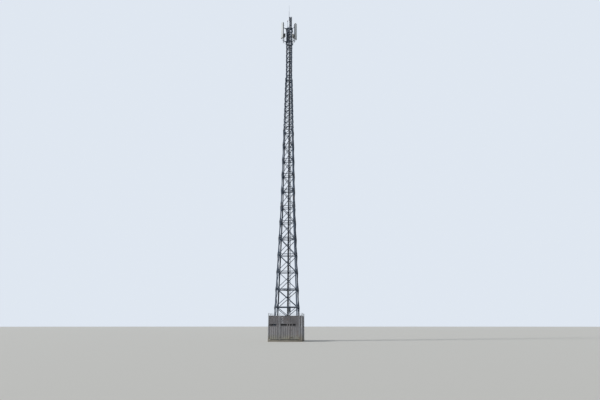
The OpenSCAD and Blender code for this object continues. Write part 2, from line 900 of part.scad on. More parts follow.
// Square post with a foot plate and a thin stub on top that carries the wires
module fence_post(p) {
  out_x = p.x > 0 ? post_w - stub_w : 0;
  out_y = p.y > 0 ? post_w - stub_w : 0;
  translate([p.x, p.y, slab_h]) {
    cube([post_w, post_w, post_top - slab_h]);
    translate([out_x, out_y, 0])
      cube([stub_w, stub_w, fence_top + wire_rise - slab_h]);
  }
  intersection() {
    translate([p.x - post_foot_w, p.y - post_foot_w, slab_h])
      cube([post_w + 2 * post_foot_w, post_w + 2 * post_foot_w, post_foot_t]);
    translate([-half, -half, slab_h]) cube([fence_side, fence_side, post_foot_t]);
  }
}

module fence_posts() {
  color(sheet_grey) {
    for (p = post_spots) fence_post(p);
    for (z = hinge_levels) {
      translate([gate_x, 0, z]) hinge_lower();
      translate([gate_right, 0, z]) mirror([1, 0, 0]) hinge_lower();
    }
  }
}

// Lower hinge half with its pin, on a strap on the face of a post at X < 0
module hinge_lower() {
  translate([swing_gap / 2, hinge_y, 0]) {
    cylinder(r = hinge_r, h = hinge_h, $fn = 24);
    cylinder(r = pin_r, h = 2 * hinge_h - 8, $fn = 24);
    translate([-12, 0, 2]) cube([12, -hinge_y - half - 0.5, hinge_h - 4]);
  }
  translate([-45, -half - 5, 0]) cube([45, 5.5, hinge_h]);
}

// Upright slats with narrow gaps and a rail behind the middle of them
module slat_field(length, low, high) {
  count = floor(length / slat_pitch);
  pitch = (length + slat_gap) / count;
  for (i = [0:count - 1])
    translate([i * pitch, 0, low - 1])
      cube([pitch - slat_gap, slat_t, high - low + 2]);
  translate([-1, slat_t - 1, (low + high - slat_rail) / 2])
    cube([length + 2, slat_rail / 2, slat_rail]);
}

// Pressed sheet with shallow ribs, standing on its lower edge
module ribbed_sheet(length, low, high) {
  ribs = floor(length / rib_pitch);
  pitch = length / ribs;
  front = [for (i = [0:ribs - 1], k = [0:3])
    [(i + [0.2, 0.3, 0.7, 0.8][k]) * pitch, [0, rib_depth, rib_depth, 0][k]]];
  line = concat([[-1, 0]], front, [[length + 1, 0]]);
  back = [for (i = [len(line) - 1:-1:0]) [line[i].x, line[i].y + sheet_t]];
  translate([0, 0, low - 1])
    linear_extrude(high - low + 2)
      polygon(concat(line, back));
}

// Frame of tubes with a ribbed sheet below and slats above. A slot between
// the two is closed over each of the blanks, given as parts of the length
module fence_field(length, low, high, slot, blanks) {
  inner = length - 2 * frame_w;
  slot_low = sheet_top + frame_w;
  slats_low = slot_low + (slot > 0 ? slot + frame_w : 0);
  for (z = [low, sheet_top, high - frame_w])
    translate([0, 0, z]) cube([length, frame_w, frame_w]);
  for (x = [0, length - frame_w])
    translate([x, 0, low]) cube([frame_w, frame_w, high - low]);
  if (slot > 0)
    translate([0, 0, slot_low + slot]) cube([length, frame_w, frame_w]);
  for (b = blanks)
    translate([b[0] * length, frame_w / 2 - 2, slot_low - 1])
      cube([(b[1] - b[0]) * length, 4, slot + 2]);
  translate([frame_w, 8, 0]) ribbed_sheet(inner, low + frame_w, sheet_top);
  translate([frame_w, frame_w / 2 - slat_t, 0]) slat_field(inner, slats_low, high - frame_w);
}

// Two bays with the middle post between them, along the side at -Y
module side_fence() {
  bay = (fence_side - 3 * post_w) / 2 - 2 * seat;
  for (s = [0, 1])
    translate([-half + post_w + seat + s * (bay + post_w + 2 * seat), -half + (post_w - frame_w) / 2, 0])
      fence_field(bay, fence_low, fence_top, 0, []);
}

// Bay to the left of the gate, and the narrow plate with a slot at its right
module fence_front() {
  left = -half + post_w + seat;
  plate = strip_w - 2 * seat;
  color(sheet_grey) {
    translate([left, -half + (post_w - frame_w) / 2, 0])
      fence_field(gate_x - post_w - seat - left, fence_low, fence_top, slot_h, left_bay_blanks);
    translate([gate_right + post_w + seat, -half + post_w / 2, fence_low])
      difference() {
        cube([plate, sheet_t, fence_top - fence_low]);
        translate([strip_edge, -1, sheet_top + frame_w - fence_low])
          cube([plate - 2 * strip_edge, sheet_t + 2, slot_h]);
      }
  }
}

// Gate leaf with its hinge line at the origin, running along +X
module gate_leaf(blanks) {
  front = -hinge_y - half;
  translate([swing_gap / 2, front, 0])
    fence_field(leaf_w, leaf_low, leaf_top, slot_h, blanks);
  for (z = hinge_levels)
    translate([0, 0, z + hinge_h + 1])
      difference() {
        union() {
          cylinder(r = hinge_r, h = hinge_h, $fn = 24);
          translate([0, 0, 2]) cube([12, front + 1, hinge_h - 4]);
        }
        translate([0, 0, -1]) cylinder(r = pin_r + seat, h = hinge_h - 4, $fn = 24);
      }
}

// Sliding bolt on a plate, on the face of a leaf, with its tip near X = 0
module slide_bolt() {
  bolt_y = -bolt_plate - bolt_d;
  translate([0, -bolt_plate, -bolt_plate_h / 2]) cube([bolt_len, bolt_plate + 1, bolt_plate_h]);
  translate([10, bolt_y, 0]) rotate([0, 90, 0]) cylinder(h = bolt_len - 20, d = bolt_d, $fn = 12);
  for (x = [0.08, 0.45, 0.8])
    translate([x * bolt_len, bolt_y - bolt_d * 0.7, -bolt_d]) cube([14, bolt_d * 1.7 + 1, 2 * bolt_d]);
  translate([0.63 * bolt_len, bolt_y - 50, -5]) cube([10, 50, 10]);
}

module gate_leaf_left() {
  color(sheet_grey)
    translate([gate_x + swing_gap / 2, hinge_y, 0]) {
      gate_leaf(left_leaf_blanks);
      translate([swing_gap / 2 + leaf_w - keeper_w - 4, -hinge_y - half - bolt_plate, bolt_z - keeper_h / 2])
        cube([keeper_w, bolt_plate + 1, keeper_h]);
    }
}

module gate_leaf_right() {
  color(sheet_grey)
    translate([gate_right - swing_gap / 2, hinge_y, 0]) {
      mirror([1, 0, 0]) gate_leaf(right_leaf_blanks);
      translate([-swing_gap / 2 - leaf_w + 6, -hinge_y - half, bolt_z]) slide_bolt();
    }
}

// Three taut strands along each side, on the outer faces of the stubs
module fence_wires() {
  color(galvanised)
    for (turn = [0:90:270], k = [0.3, 0.6, 0.9])
      rotate([0, 0, turn])
        translate([-half, -half - strand_d / 2 - seat, fence_top + k * wire_rise])
          rotate([0, 90, 0])
            cylinder(h = fence_side, d = strand_d, $fn = 6);
}

foundation_slab();
leg_feet();
tower_leg(0);  // leg_front_left
tower_leg(90);  // leg_front_right
tower_leg(180);  // leg_back_right
tower_leg(270);  // leg_back_left
lower_bracing(0);  // lower_bracing_front
lower_bracing(90);  // lower_bracing_right
lower_bracing(180);  // lower_bracing_back
lower_bracing(270);  // lower_bracing_left
upper_bracing(0);  // upper_bracing_front
upper_bracing(90);  // upper_bracing_right
upper_bracing(180);  // upper_bracing_back
upper_bracing(270);  // upper_bracing_left
plan_bracing();
transition_frame();
head_legs();
head_bracing(0);  // head_bracing_front
head_bracing(90);  // head_bracing_right
head_bracing(180);  // head_bracing_back
head_bracing(270);  // head_bracing_left
ladder();
ladder_crossbars();
feeder_cables();
cable_entry();
junction_box();
mount_rings();
standoff(0);  // standoff_left
standoff(1);  // standoff_right
standoff(2);  // standoff_back
panel_antenna(0);  // antenna_left
panel_antenna(1);  // antenna_right
panel_antenna(2);  // antenna_back
radio_units();
jumper_cables();
lightning_rod();
warning_lamp();
fence_posts();
fence_front();
color(sheet_grey) rotate([0, 0, 90]) side_fence();  // fence_right
color(sheet_grey) rotate([0, 0, 180]) side_fence();  // fence_back
color(sheet_grey) rotate([0, 0, 270]) side_fence();  // fence_left
gate_leaf_left();
gate_leaf_right();
fence_wires();
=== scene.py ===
# %% [markdown]
# # Looks for a lattice tower with phone antennas
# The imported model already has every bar, plate and cable in its place. This script adds what makes it
# look real: finishes that weather with height, bolts in every joint, wires with barbs, smooth cables.
# Everything is in metres, Z is up, and the gate faces -Y.

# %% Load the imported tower
import json
import math

import bpy
import numpy as np
from mathutils import Matrix, Vector


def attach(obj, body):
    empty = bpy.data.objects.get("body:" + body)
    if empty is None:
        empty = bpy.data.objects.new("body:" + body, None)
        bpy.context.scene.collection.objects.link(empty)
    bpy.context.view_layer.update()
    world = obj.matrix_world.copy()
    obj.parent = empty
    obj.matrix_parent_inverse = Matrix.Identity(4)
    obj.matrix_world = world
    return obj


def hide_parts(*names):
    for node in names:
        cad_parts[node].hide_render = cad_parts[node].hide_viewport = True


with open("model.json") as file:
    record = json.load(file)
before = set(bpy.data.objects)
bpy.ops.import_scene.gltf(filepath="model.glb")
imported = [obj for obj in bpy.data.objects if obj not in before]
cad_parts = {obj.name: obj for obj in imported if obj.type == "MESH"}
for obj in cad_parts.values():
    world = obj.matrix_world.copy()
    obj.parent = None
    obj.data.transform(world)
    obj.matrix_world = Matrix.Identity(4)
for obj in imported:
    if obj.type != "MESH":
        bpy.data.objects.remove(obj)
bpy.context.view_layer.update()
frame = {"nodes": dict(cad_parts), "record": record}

# %% [markdown]
# ## Camera
# The photograph was taken by a person at the roadside, 42.7 m away and a little to the right of the
# gate, with the phone tipped up by 16 degrees. A camera could look at the tower with a tracking
# constraint, but then the tower would stand in the middle of the picture. Here its two turns are
# given, so that the tower stands left of the middle with the horizon low, as in the photograph.

# %% Camera at the roadside
TOWER_X = 0.02
CAMERA_AWAY = 42.7
CAMERA_HIGH = 1.37
CAMERA_AZIMUTH = math.radians(6.0)
CAMERA_TIP = math.radians(16.2)
CAMERA_PAN = math.radians(1.65)
camera = bpy.data.objects.new("camera", bpy.data.cameras.new("camera"))
camera.data.sensor_width = 36.0
camera.data.lens = 26.0
camera.data.clip_end = 2000.0
camera.location = (
    TOWER_X + CAMERA_AWAY * math.sin(CAMERA_AZIMUTH),
    -CAMERA_AWAY * math.cos(CAMERA_AZIMUTH),
    CAMERA_HIGH,
)
camera.rotation_euler = (math.pi / 2 + CAMERA_TIP, 0, CAMERA_AZIMUTH - CAMERA_PAN)
bpy.context.scene.collection.objects.link(camera)
bpy.context.scene.camera = camera
print("camera at", [round(c, 2) for c in camera.location])

# %% [markdown]
# ## Shader nodes
# The floor, the sky and every finish are made of shader nodes. Each node could be added, set and
# linked in lines of its own, but then a finish would fill a page. These functions do it in one line
# each, so that a finish reads like a recipe.

# %% A short way to write shader nodes
def is_socket(value):
    """Whether a value is another node's output, and not a plain number or colour."""
    return isinstance(value, bpy.types.NodeSocket)


def feed(made, inputs):
    """Gives each named input of a node a plain value, or links another node's output to it."""
    for key, value in inputs.items():
        if is_socket(value):
            made.id_data.links.new(value, made.inputs[key])
        else:
            made.inputs[key].default_value = value
    return made


def node(kind, inputs, **settings):
    """Adds one node with its settings and inputs, to the tree in which its linked inputs are."""
    tree = next(value.id_data for value in inputs.values() if is_socket(value))
    made = tree.nodes.new("ShaderNode" + kind)
    for key, value in settings.items():
        setattr(made, key, value)
    return feed(made, inputs)


def arithmetic(operation, a, b, clamp=False):
    """One step of arithmetic on two numbers or sockets, of which one is a socket at least."""
    return node("Math", {0: a, 1: b}, operation=operation, use_clamp=clamp).outputs[0]


def times(a, b):
    """Product of two numbers or sockets."""
    return arithmetic("MULTIPLY", a, b)


def plus(a, b, clamp=False):
    """Sum of two numbers or sockets, kept between 0 and 1 if clamped."""
    return arithmetic("ADD", a, b, clamp)


def larger(a, b):
    """The larger of two numbers or sockets."""
    return arithmetic("MAXIMUM", a, b)


def ramp(value, low, high, to_low=0.0, to_high=1.0):
    """Straight ramp: to_low where value is at or below low, to_high at or above high."""
    inputs = {"Value": value, "From Min": low, "From Max": high, "To Min": to_low, "To Max": to_high}
    return node("MapRange", inputs).outputs["Result"]


def blend(share, first, second, blend_type="MIX"):
    """Mixes two colours: all first where share is 0, all second where it is 1."""
    first, second = [value if is_socket(value) else (*value, 1) for value in (first, second)]
    inputs = {0: share, 6: first, 7: second}
    return node("Mix", inputs, data_type="RGBA", blend_type=blend_type).outputs[2]


def shaded(tone, colour):
    """A colour made lighter or darker: colour x tone."""
    grey = node("CombineColor", {0: tone, 1: tone, 2: tone}).outputs[0]
    return blend(1.0, grey, colour, "MULTIPLY")


def clouds(place, scale, detail=4.0, stretch=None):
    """Soft noise at a number of clouds per metre, stretched by a factor along X, Y and Z."""
    if stretch is not None:
        place = node("Mapping", {"Vector": place, "Scale": stretch}).outputs[0]
    return node("TexNoise", {"Vector": place, "Scale": scale, "Detail": detail}).outputs["Fac"]


def height_at(place):
    """Height above the ground of the point that is shaded."""
    return node("SeparateXYZ", {"Vector": place}).outputs["Z"]


def start_finish(name):
    """Starts a material: the material, its shader and the places of the points it covers."""
    material = bpy.data.materials.new(name)
    material.use_nodes = True
    nodes = material.node_tree.nodes
    return material, nodes["Principled BSDF"], nodes.new("ShaderNodeTexCoord").outputs["Object"]


def roughen(shader, height, depth, strength=0.5):
    """Bump from a height between 0 and 1 that stands for a depth in metres."""
    bump = node("Bump", {"Height": height, "Distance": depth, "Strength": strength})
    feed(shader, {"Normal": bump.outputs[0]})


print("shader helpers ready")

# %% [markdown]
# ## Floor and light
# A tall thin object is hard to light with area lamps, because they would be bright at its foot and
# weak at its head. A sun lamp is equally strong everywhere, and a wide angle keeps its shadows soft.
# The world fills in from all sides. It shows its pale background to the camera and to reflections
# at one brightness, and lights the object at another. The floor looks pale too, but light that it
# throws back onto the tower is as weak as from dry ground, or the shaded sides would look washed out.

# %% A wide pale floor
def seen_rays(tree):
    """1 for rays of the camera, of reflections and through clear things, 0 for light on things."""
    rays = tree.nodes.new("ShaderNodeLightPath").outputs
    latest = rays["Is Camera Ray"]
    for other in ("Is Glossy Ray", "Is Transmission Ray"):
        latest = larger(latest, rays[other])
    return latest


FLOOR_R, FLOOR_POINTS = 900.0, 96
angles = np.linspace(0, 2 * np.pi, FLOOR_POINTS, endpoint=False)
rim = np.stack([FLOOR_R * np.cos(angles), FLOOR_R * np.sin(angles), 0 * angles], 1)
floor_mesh = bpy.data.meshes.new("floor")
floor_mesh.from_pydata(rim.tolist(), [], [list(range(FLOOR_POINTS))])
floor = bpy.data.objects.new("floor", floor_mesh)
bpy.context.scene.collection.objects.link(floor)
floor_finish, floor_shader = start_finish("pale_floor")[:2]
floor_colour = blend(seen_rays(floor_finish.node_tree), (0.32, 0.31, 0.28), (0.62, 0.61, 0.58))
feed(floor_shader, {"Base Color": floor_colour, "Roughness": 0.9})
floor_mesh.materials.append(floor_finish)
print("floor radius", FLOOR_R)

# %% Sun lamp and world
SUN_FROM = (-1.0, -0.38, 0.85)
FILL_STRENGTH = 0.3
sun = bpy.data.objects.new("sun", bpy.data.lights.new("sun", "SUN"))
sun.data.energy = 2.6
sun.data.angle = math.radians(12)
sun.data.color = (1.0, 0.98, 0.95)
turn_side = math.atan2(SUN_FROM[0], -SUN_FROM[1])
turn_down = math.atan2(math.hypot(SUN_FROM[0], SUN_FROM[1]), SUN_FROM[2])
sun.rotation_euler = (turn_down, 0, turn_side)
bpy.context.scene.collection.objects.link(sun)

world = bpy.data.worlds.new("studio")
bpy.context.scene.world = world
world.use_nodes = True
sky = world.node_tree
fill = feed(sky.nodes["Background"], {"Color": (0.82, 0.91, 1.0, 1), "Strength": FILL_STRENGTH})
seen = feed(sky.nodes.new("ShaderNodeBackground"), {"Color": (0.74, 0.8, 0.88, 1)})
either = node("MixShader", {"Fac": seen_rays(sky), 1: fill.outputs[0], 2: seen.outputs[0]})
feed(sky.nodes["World Output"], {"Surface": either.outputs[0]})
bpy.context.scene.view_settings.view_transform = "Standard"
print("sun from the left, world fill", FILL_STRENGTH)

# %% [markdown]
# ## Finishes
# Nothing on a tower has one flat colour. Zinc sets in crystals of a centimetre or two, then dulls
# in clouds and streaks as rain runs down it, and rust starts where the zinc has been scraped off.
# Pictures of such surfaces could be wrapped round the bars, but the patterns are plain enough to be
# computed from each point's place, and then they fit every bar without any unwrapping.
#
# ### Zinc on steel
# Hot-dip zinc turns dull grey outdoors and blooms white where water stands. One recipe serves the
# lattice, the ladder, the fence posts and the bolts. It takes a base colour, how metallic it still
# looks, how much of it rusts, and the height up to which splashed soil has stained it. Rust is
# crisp flecks with runs below them, not soft clouds. The lattice's dark navy base and the ladder's
# nearly black one are painted shade: the posts' and bolts' zinc, darkened and blued as it looks
# against a bright sky.

# %% Rust flecks and runs
def rusted(place, scale, share):
    """How rusty a point is and the colour there: flecks and stretched runs, kept to a few patches."""
    fleck = clouds(place, scale, 8.0)
    run = clouds(place, scale, 3.0, (1, 1, 0.07))
    patch = ramp(clouds(place, scale / 16, 2.0), 0.56, 0.63)
    spotted = times(ramp(fleck, 0.6, 0.63), patch)
    running = times(ramp(run, 0.58, 0.72, 0.0, 0.45), patch)
    worn = times(larger(spotted, running), share)
    return worn, blend(ramp(fleck, 0.61, 0.7), (0.27, 0.115, 0.05), (0.09, 0.04, 0.024))


print("rust is ready")

# %% Galvanised steel
def galvanised(name, base, metallic, rust, soil_top):
    """Zinc: base x crystals x clouds x streaks, then white bloom, rust and soil near the ground."""
    material, shader, place = start_finish(name)
    crystal = node("TexVoronoi", {"Vector": place, "Scale": 60.0}).outputs["Color"]
    crystal = node("SeparateColor", {"Color": crystal}).outputs[0]
    cloud = clouds(place, 1.7, 5.0)
    streak = clouds(place, 9.0, 3.0, (1, 1, 0.06))
    tone = times(ramp(crystal, 0, 1, 0.8, 1.16), ramp(cloud, 0.3, 0.7, 0.7, 1.28))
    colour = shaded(times(tone, ramp(streak, 0.35, 0.7, 0.8, 1.22)), base)
    bloom = ramp(clouds(place, 5.0, 7.0), 0.54, 0.68, 0, 0.45)
    bloom = times(bloom, ramp(streak, 0.3, 0.6))
    pale = tuple(min(1.7 * c + 0.03, 0.8) for c in base)
    colour = blend(bloom, colour, pale)
    worn, brown = rusted(place, 20.0, rust)
    colour = blend(worn, colour, brown)
    splash = ramp(height_at(place), 0.15, soil_top, 1, 0)
    splash = times(splash, ramp(cloud, 0.3, 0.6, 0.25, 0.9))
    colour = blend(splash, colour, (0.3, 0.23, 0.15))
    dull = larger(larger(worn, splash), bloom)
    shine = ramp(dull, 0, 1, metallic, 0.05)
    rough = ramp(cloud, 0.3, 0.7, 0.36, 0.56)
    rough = plus(rough, ramp(crystal, 0, 1, -0.06, 0.08))
    rough = plus(rough, times(dull, 0.3), True)
    feed(shader, {"Base Color": colour, "Metallic": shine, "Roughness": rough})
    roughen(shader, plus(crystal, times(worn, 2.0)), 0.0006)
    return material


# The lattice's dark navy base is painted shade: galvanised zinc darkened and blued as it looks against a
# bright sky.
lattice_zinc_painted_shade = galvanised("lattice_zinc_painted_shade", (0.089, 0.118, 0.165), 0.35, 0.9, 0.9)
# The ladder's nearly black base is painted shade, for the dark column that the ladder, rod and lamp
# fittings make against the sky.
ladder_zinc_painted_shade = galvanised("ladder_zinc_painted_shade", (0.04, 0.054, 0.078), 0.3, 0.7, 0.7)
post_zinc = galvanised("post_zinc", (0.41, 0.42, 0.44), 0.3, 0.6, 0.8)
bolt_zinc = galvanised("bolt_zinc", (0.34, 0.35, 0.36), 0.7, 1.0, 0.6)
lock_brass = galvanised("lock_brass", (0.42, 0.31, 0.15), 0.8, 0.5, 0.4)
# Nearly black finish of the antenna trays and spines: painted shade for the dark sides of the antennas.
tray_painted_shade = galvanised("tray_painted_shade", (0.035, 0.045, 0.058), 0.15, 0.0, 0.5)
print("metal finishes:", ladder_zinc_painted_shade.name, lattice_zinc_painted_shade.name, post_zinc.name, bolt_zinc.name)

# %% [markdown]
# ### Weathered sheet, plastic, rubber and concrete
# The fence sheets are thinner steel that has gone matt and bluish, with runs below every fastener;
# the slats above them are painted darker, as painted shade between and behind them. Radomes are
# moulded plastic that rain leaves dusty at the lower end. Cable jackets are black, but sunlight greys
# them. Concrete is cast, so it has pores, painted dark as the shade in them, a tide line of soil and
# darker damp clouds.

# %% Fence sheet
def fence_sheet(name, base, slats):
    """Matt zinc sheet: clouds, rain runs, slats above the rail painted darker as shade, soil to knee
    height, rust.
    """
    material, shader, place = start_finish(name)
    cloud = clouds(place, 1.1, 5.0)
    run = clouds(place, 24.0, 4.0, (1, 1, 0.04))
    grain = clouds(place, 90.0, 3.0)
    height = height_at(place)
    tone = times(ramp(cloud, 0.3, 0.7, 0.8, 1.2), ramp(run, 0.35, 0.7, 0.84, 1.16))
    tone = times(tone, ramp(grain, 0.3, 0.7, 0.94, 1.06))
    # Above the rail the slats get the darker colour: painted shade between and behind the slats.
    colour = shaded(tone, blend(ramp(height, 1.36, 1.4), base, slats))
    chalk = ramp(clouds(place, 3.3, 8.0), 0.56, 0.7, 0, 0.4)
    chalk = times(chalk, ramp(run, 0.3, 0.6))
    colour = blend(chalk, colour, tuple(1.5 * c for c in base))
    soil = times(ramp(height, 0.22, 0.66, 1, 0), ramp(cloud, 0.35, 0.65, 0.4, 0.95))
    soil = times(soil, ramp(run, 0.3, 0.65, 0.5, 1.1))
    colour = blend(soil, colour, (0.4, 0.39, 0.29))
    worn, brown = rusted(place, 14.0, 0.6)
    colour = blend(worn, colour, brown)
    dull = larger(soil, worn)
    shine = ramp(dull, 0, 1, 0.25, 0.0)
    rough = ramp(cloud, 0.3, 0.7, 0.48, 0.68)
    rough = plus(rough, times(dull, 0.25), True)
    feed(shader, {"Base Color": colour, "Metallic": shine, "Roughness": rough})
    roughen(shader, plus(cloud, times(grain, 0.1)), 0.004)
    return material


sheet_zinc_painted_slat_shade = fence_sheet("sheet_zinc_painted_slat_shade", (0.285, 0.277, 0.288), (0.222, 0.212, 0.222))
print("sheet finish:", sheet_zinc_painted_slat_shade.name)

# %% Radome plastic and radio paint
def outdoor_paint(name, base, dust, roughness, low, high):
    """Pale moulded or painted surface: faint clouds, thin dark runs, dust between two heights."""
    material, shader, place = start_finish(name)
    cloud = clouds(place, 2.2, 4.0)
    run = clouds(place, 30.0, 4.0, (1, 1, 0.03))
    grain = clouds(place, 400.0, 2.0)
    colour = blend(ramp(cloud, 0.3, 0.7, 0.0, 0.25), base, dust)
    colour = blend(ramp(run, 0.55, 0.75, 0.0, 0.4), colour, dust)
    settled = ramp(height_at(place), low, high, 0.7, 0)
    settled = times(settled, ramp(run, 0.3, 0.6, 0.3, 1))
    colour = blend(settled, colour, dust)
    rough = ramp(cloud, 0.3, 0.7, roughness - 0.06, roughness + 0.1)
    feed(shader, {"Base Color": colour, "Roughness": rough, "Specular IOR Level": 0.3})
    roughen(shader, grain, 0.0003, 0.3)
    return material


radome_plastic = outdoor_paint("radome_plastic", (0.74, 0.79, 0.84), (0.46, 0.49, 0.5), 0.5, 32.9, 33.6)
radio_paint = outdoor_paint("radio_paint", (0.42, 0.43, 0.43), (0.28, 0.275, 0.25), 0.45, 33.2, 33.5)
box_paint = outdoor_paint("box_paint", (0.13, 0.2, 0.21), (0.22, 0.22, 0.19), 0.42, 2.6, 2.8)
print("painted finishes:", radome_plastic.name, radio_paint.name, box_paint.name)

# %% Cable jacket, dark rubber and concrete
def cable_rubber(name, base, dust):
    """Black jacket: sun-greyed clouds, fine dust that lies in a faint grain."""
    material, shader, place = start_finish(name)
    cloud = clouds(place, 5.0, 4.0)
    grain = clouds(place, 250.0, 3.0)
    share = times(ramp(cloud, 0.4, 0.75, 0.0, 0.6), ramp(grain, 0.4, 0.7, 0.3, 1))
    rough = ramp(cloud, 0.3, 0.7, 0.45, 0.7)
    feed(shader, {"Base Color": blend(share, base, dust), "Roughness": rough})
    roughen(shader, grain, 0.0003, 0.4)
    return material


def cast_concrete(name, damp, dry):
    """Cement: damp clouds, sand grains, clusters of Voronoi pores painted dark as shade in the holes,
    and soil near the ground.
    """
    material, shader, place = start_finish(name)
    cloud = clouds(place, 1.3, 6.0)
    sand = clouds(place, 160.0, 4.0)
    pore = node("TexVoronoi", {"Vector": place, "Scale": 38.0}).outputs["Distance"]
    cluster = ramp(clouds(place, 3.1, 4.0), 0.42, 0.6, 0.11, 0.0)
    pore = ramp(plus(pore, cluster), 0.08, 0.16)
    colour = blend(ramp(cloud, 0.35, 0.65), damp, dry)
    colour = blend(ramp(sand, 0.35, 0.65, 0.0, 0.3), colour, (0.3, 0.28, 0.25))
    # The pores' dark colour is painted shade inside the holes.
    colour = blend(pore, (0.15, 0.137, 0.12), colour)
    soil = ramp(height_at(place), 0.0, 0.13, 1, 0)
    soil = times(soil, ramp(cloud, 0.3, 0.6, 0.4, 1))
    colour = blend(soil, colour, (0.22, 0.175, 0.1))
    feed(shader, {"Base Color": colour, "Roughness": 0.92})
    roughen(shader, plus(times(pore, 0.7), sand), 0.002, 0.7)
    return material


jacket = cable_rubber("jacket", (0.018, 0.018, 0.02), (0.11, 0.1, 0.09))
# Nearly black finish of the flaps behind the gate's slots: painted shade for the dark yard behind them.
slot_painted_shade = cable_rubber("slot_painted_shade", (0.008, 0.008, 0.009), (0.03, 0.028, 0.026))
concrete = cast_concrete("concrete_cast", (0.25, 0.235, 0.21), (0.43, 0.41, 0.37))
mortar_grey = cast_concrete("mortar_grey", (0.17, 0.165, 0.16), (0.31, 0.3, 0.285))
print("dark and rough finishes:", jacket.name, slot_painted_shade.name, concrete.name, mortar_grey.name)

# %% Lamp lens
lens, lens_shader, lens_place = start_finish("lamp_lens")
lens_rib = node("TexWave", {"Vector": lens_place, "Scale": 28.0}, bands_direction="Z")
lens_rib = lens_rib.outputs["Fac"]
lens_dust = ramp(clouds(lens_place, 60.0), 0.5, 0.75, 0, 0.4)
lens_colour = blend(lens_rib, (0.24, 0.015, 0.012), (0.45, 0.04, 0.03))
lens_colour = blend(lens_dust, lens_colour, (0.3, 0.16, 0.13))
feed(lens_shader, {"Base Color": lens_colour, "Roughness": 0.34})
roughen(lens_shader, lens_rib, 0.002, 0.4)
print("lens finish:", lens.name)

# %% Every node gets its finish
FINISH_OF = {
    "concrete": concrete,
    "galvanised_steel": lattice_zinc_painted_shade,
    "fence_steel": sheet_zinc_painted_slat_shade,
    "bright_wire": post_zinc,
    "radome": radome_plastic,
    "radio_housing": radio_paint,
    "cable_jacket": jacket,
    "lamp_red": lens,
}
OWN_FINISH = {
    "fence_posts": post_zinc,
    "junction_box": box_paint,
    "ladder_crossbars": ladder_zinc_painted_shade,
    "lightning_rod": ladder_zinc_painted_shade,
}
for part in frame["record"]["subparts"]:
    worn_by = frame["nodes"][part["node"]].data.materials
    worn_by.clear()
    worn_by.append(OWN_FINISH.get(part["node"], FINISH_OF[part["material_slot"]]))
print("finishes in use:", len(FINISH_OF), "and", len(OWN_FINISH), "nodes with one of their own")

# %% Slot and finish of the small parts
BOLTS = ("galvanised_steel", bolt_zinc)
LADDER = ("galvanised_steel", ladder_zinc_painted_shade)
TRAY = ("galvanised_steel", tray_painted_shade)
FENCE = ("fence_steel", post_zinc)
FENCE_BOLTS = ("fence_steel", bolt_zinc)
LOCK = ("fence_steel", lock_brass)
WIRE = ("bright_wire", post_zinc)
WIRE_CLIPS = ("bright_wire", bolt_zinc)
JACKET = ("cable_jacket", jacket)
SHADE_FLAPS = ("cable_jacket", slot_painted_shade)
RADIO = ("radio_housing", radio_paint)
CONCRETE = ("concrete", concrete)
MORTAR = ("concrete", mortar_grey)
print("a bolt's slot is", BOLTS[0], "and its finish", BOLTS[1].name)

# %% [markdown]
# ## Shapes as arrays
# A tower is a few shapes repeated thousands of times. Bolts could be added one by one as objects, but
# that is slow and hard to change. Here a shape is two things: an array of points, and arrays of faces
# that name their corners by number. To repeat a shape, its points are multiplied by many placing
# matrices at once, and the face numbers are shifted by one shape's worth each time.

# %% Lofts and bodies of revolution
def loft(rings):
    """Skin over rings, given as (rings, points, 3): four-sided faces, and one face at each end."""
    m, k = rings.shape[:2]
    i, j = np.meshgrid(np.arange(m - 1), np.arange(k), indexing="ij")
    a, b = i * k + j, i * k + (j + 1) % k
    sides = np.stack([a, b, b + k, a + k], -1).reshape(-1, 4)
    ends = np.array([np.arange(k)[::-1], (m - 1) * k + np.arange(k)])
    return rings.reshape(-1, 3), [sides, ends]


def turned(profile, sides, turn=0.0):
    """Body of revolution: (radius, height) becomes a ring of points (r cos t, r sin t, height)."""
    r, z = np.asarray(profile, float).T
    t = turn + np.arange(sides) * 2 * np.pi / sides
    rings = [np.outer(r, np.cos(t)), np.outer(r, np.sin(t)), np.repeat(z[:, None], sides, 1)]
    return loft(np.stack(rings, -1))


def round_corners(width, depth, radius, points):
    """A rounded rectangle's corner centres, (+-w/2 -+ r, +-d/2 -+ r), and the directions from them."""
    t = np.concatenate([np.linspace(0, np.pi / 2, points) + k * np.pi / 2 for k in range(4)])
    signs = np.repeat(np.array([[1, 1], [-1, 1], [-1, -1], [1, -1]]), points, 0)
    centres = signs * (np.array([width, depth]) / 2 - radius)
    return centres, np.stack([np.cos(t), np.sin(t)], -1)


def rounded_path(width, depth, radius, points=5):
    """Closed path of a rounded rectangle about the origin, counter-clockwise in XY."""
    centres, directions = round_corners(width, depth, radius, points)
    return np.column_stack([centres + radius * directions, np.zeros(len(centres))])


def block(width, depth, height, bevel, corner=None, steps=2):
    """Box on Z = 0: rings of one rounded rectangle, drawn in by the bevel at the bottom and top."""
    corner = 1.5 * bevel if corner is None else corner
    centres, directions = round_corners(width, depth, corner, steps + 1)
    drawn_in = np.array([bevel, 0, 0, bevel])[:, None, None]
    flat = centres + (corner - drawn_in) * directions
    heights = np.array([0, bevel, height - bevel, height])[:, None, None]
    return loft(np.concatenate([flat, np.repeat(heights, len(centres), 1)], -1))


def sweep(path, radius, sides, aside=(0.8, 0.53, 0.27)):
    """Tube along a path: at each point a ring of the given radius in the plane square to the path."""
    path = np.asarray(path, float)
    along = np.gradient(path, axis=0)
    along /= np.linalg.norm(along, axis=1, keepdims=True)
    u = np.cross(along, aside)
    u /= np.linalg.norm(u, axis=1, keepdims=True)
    v = np.cross(along, u)
    t = np.arange(sides)[:, None] * 2 * np.pi / sides
    r = np.broadcast_to(radius, len(path))[:, None, None]
    return loft(path[:, None] + r * (np.cos(t) * u[:, None] + np.sin(t) * v[:, None]))


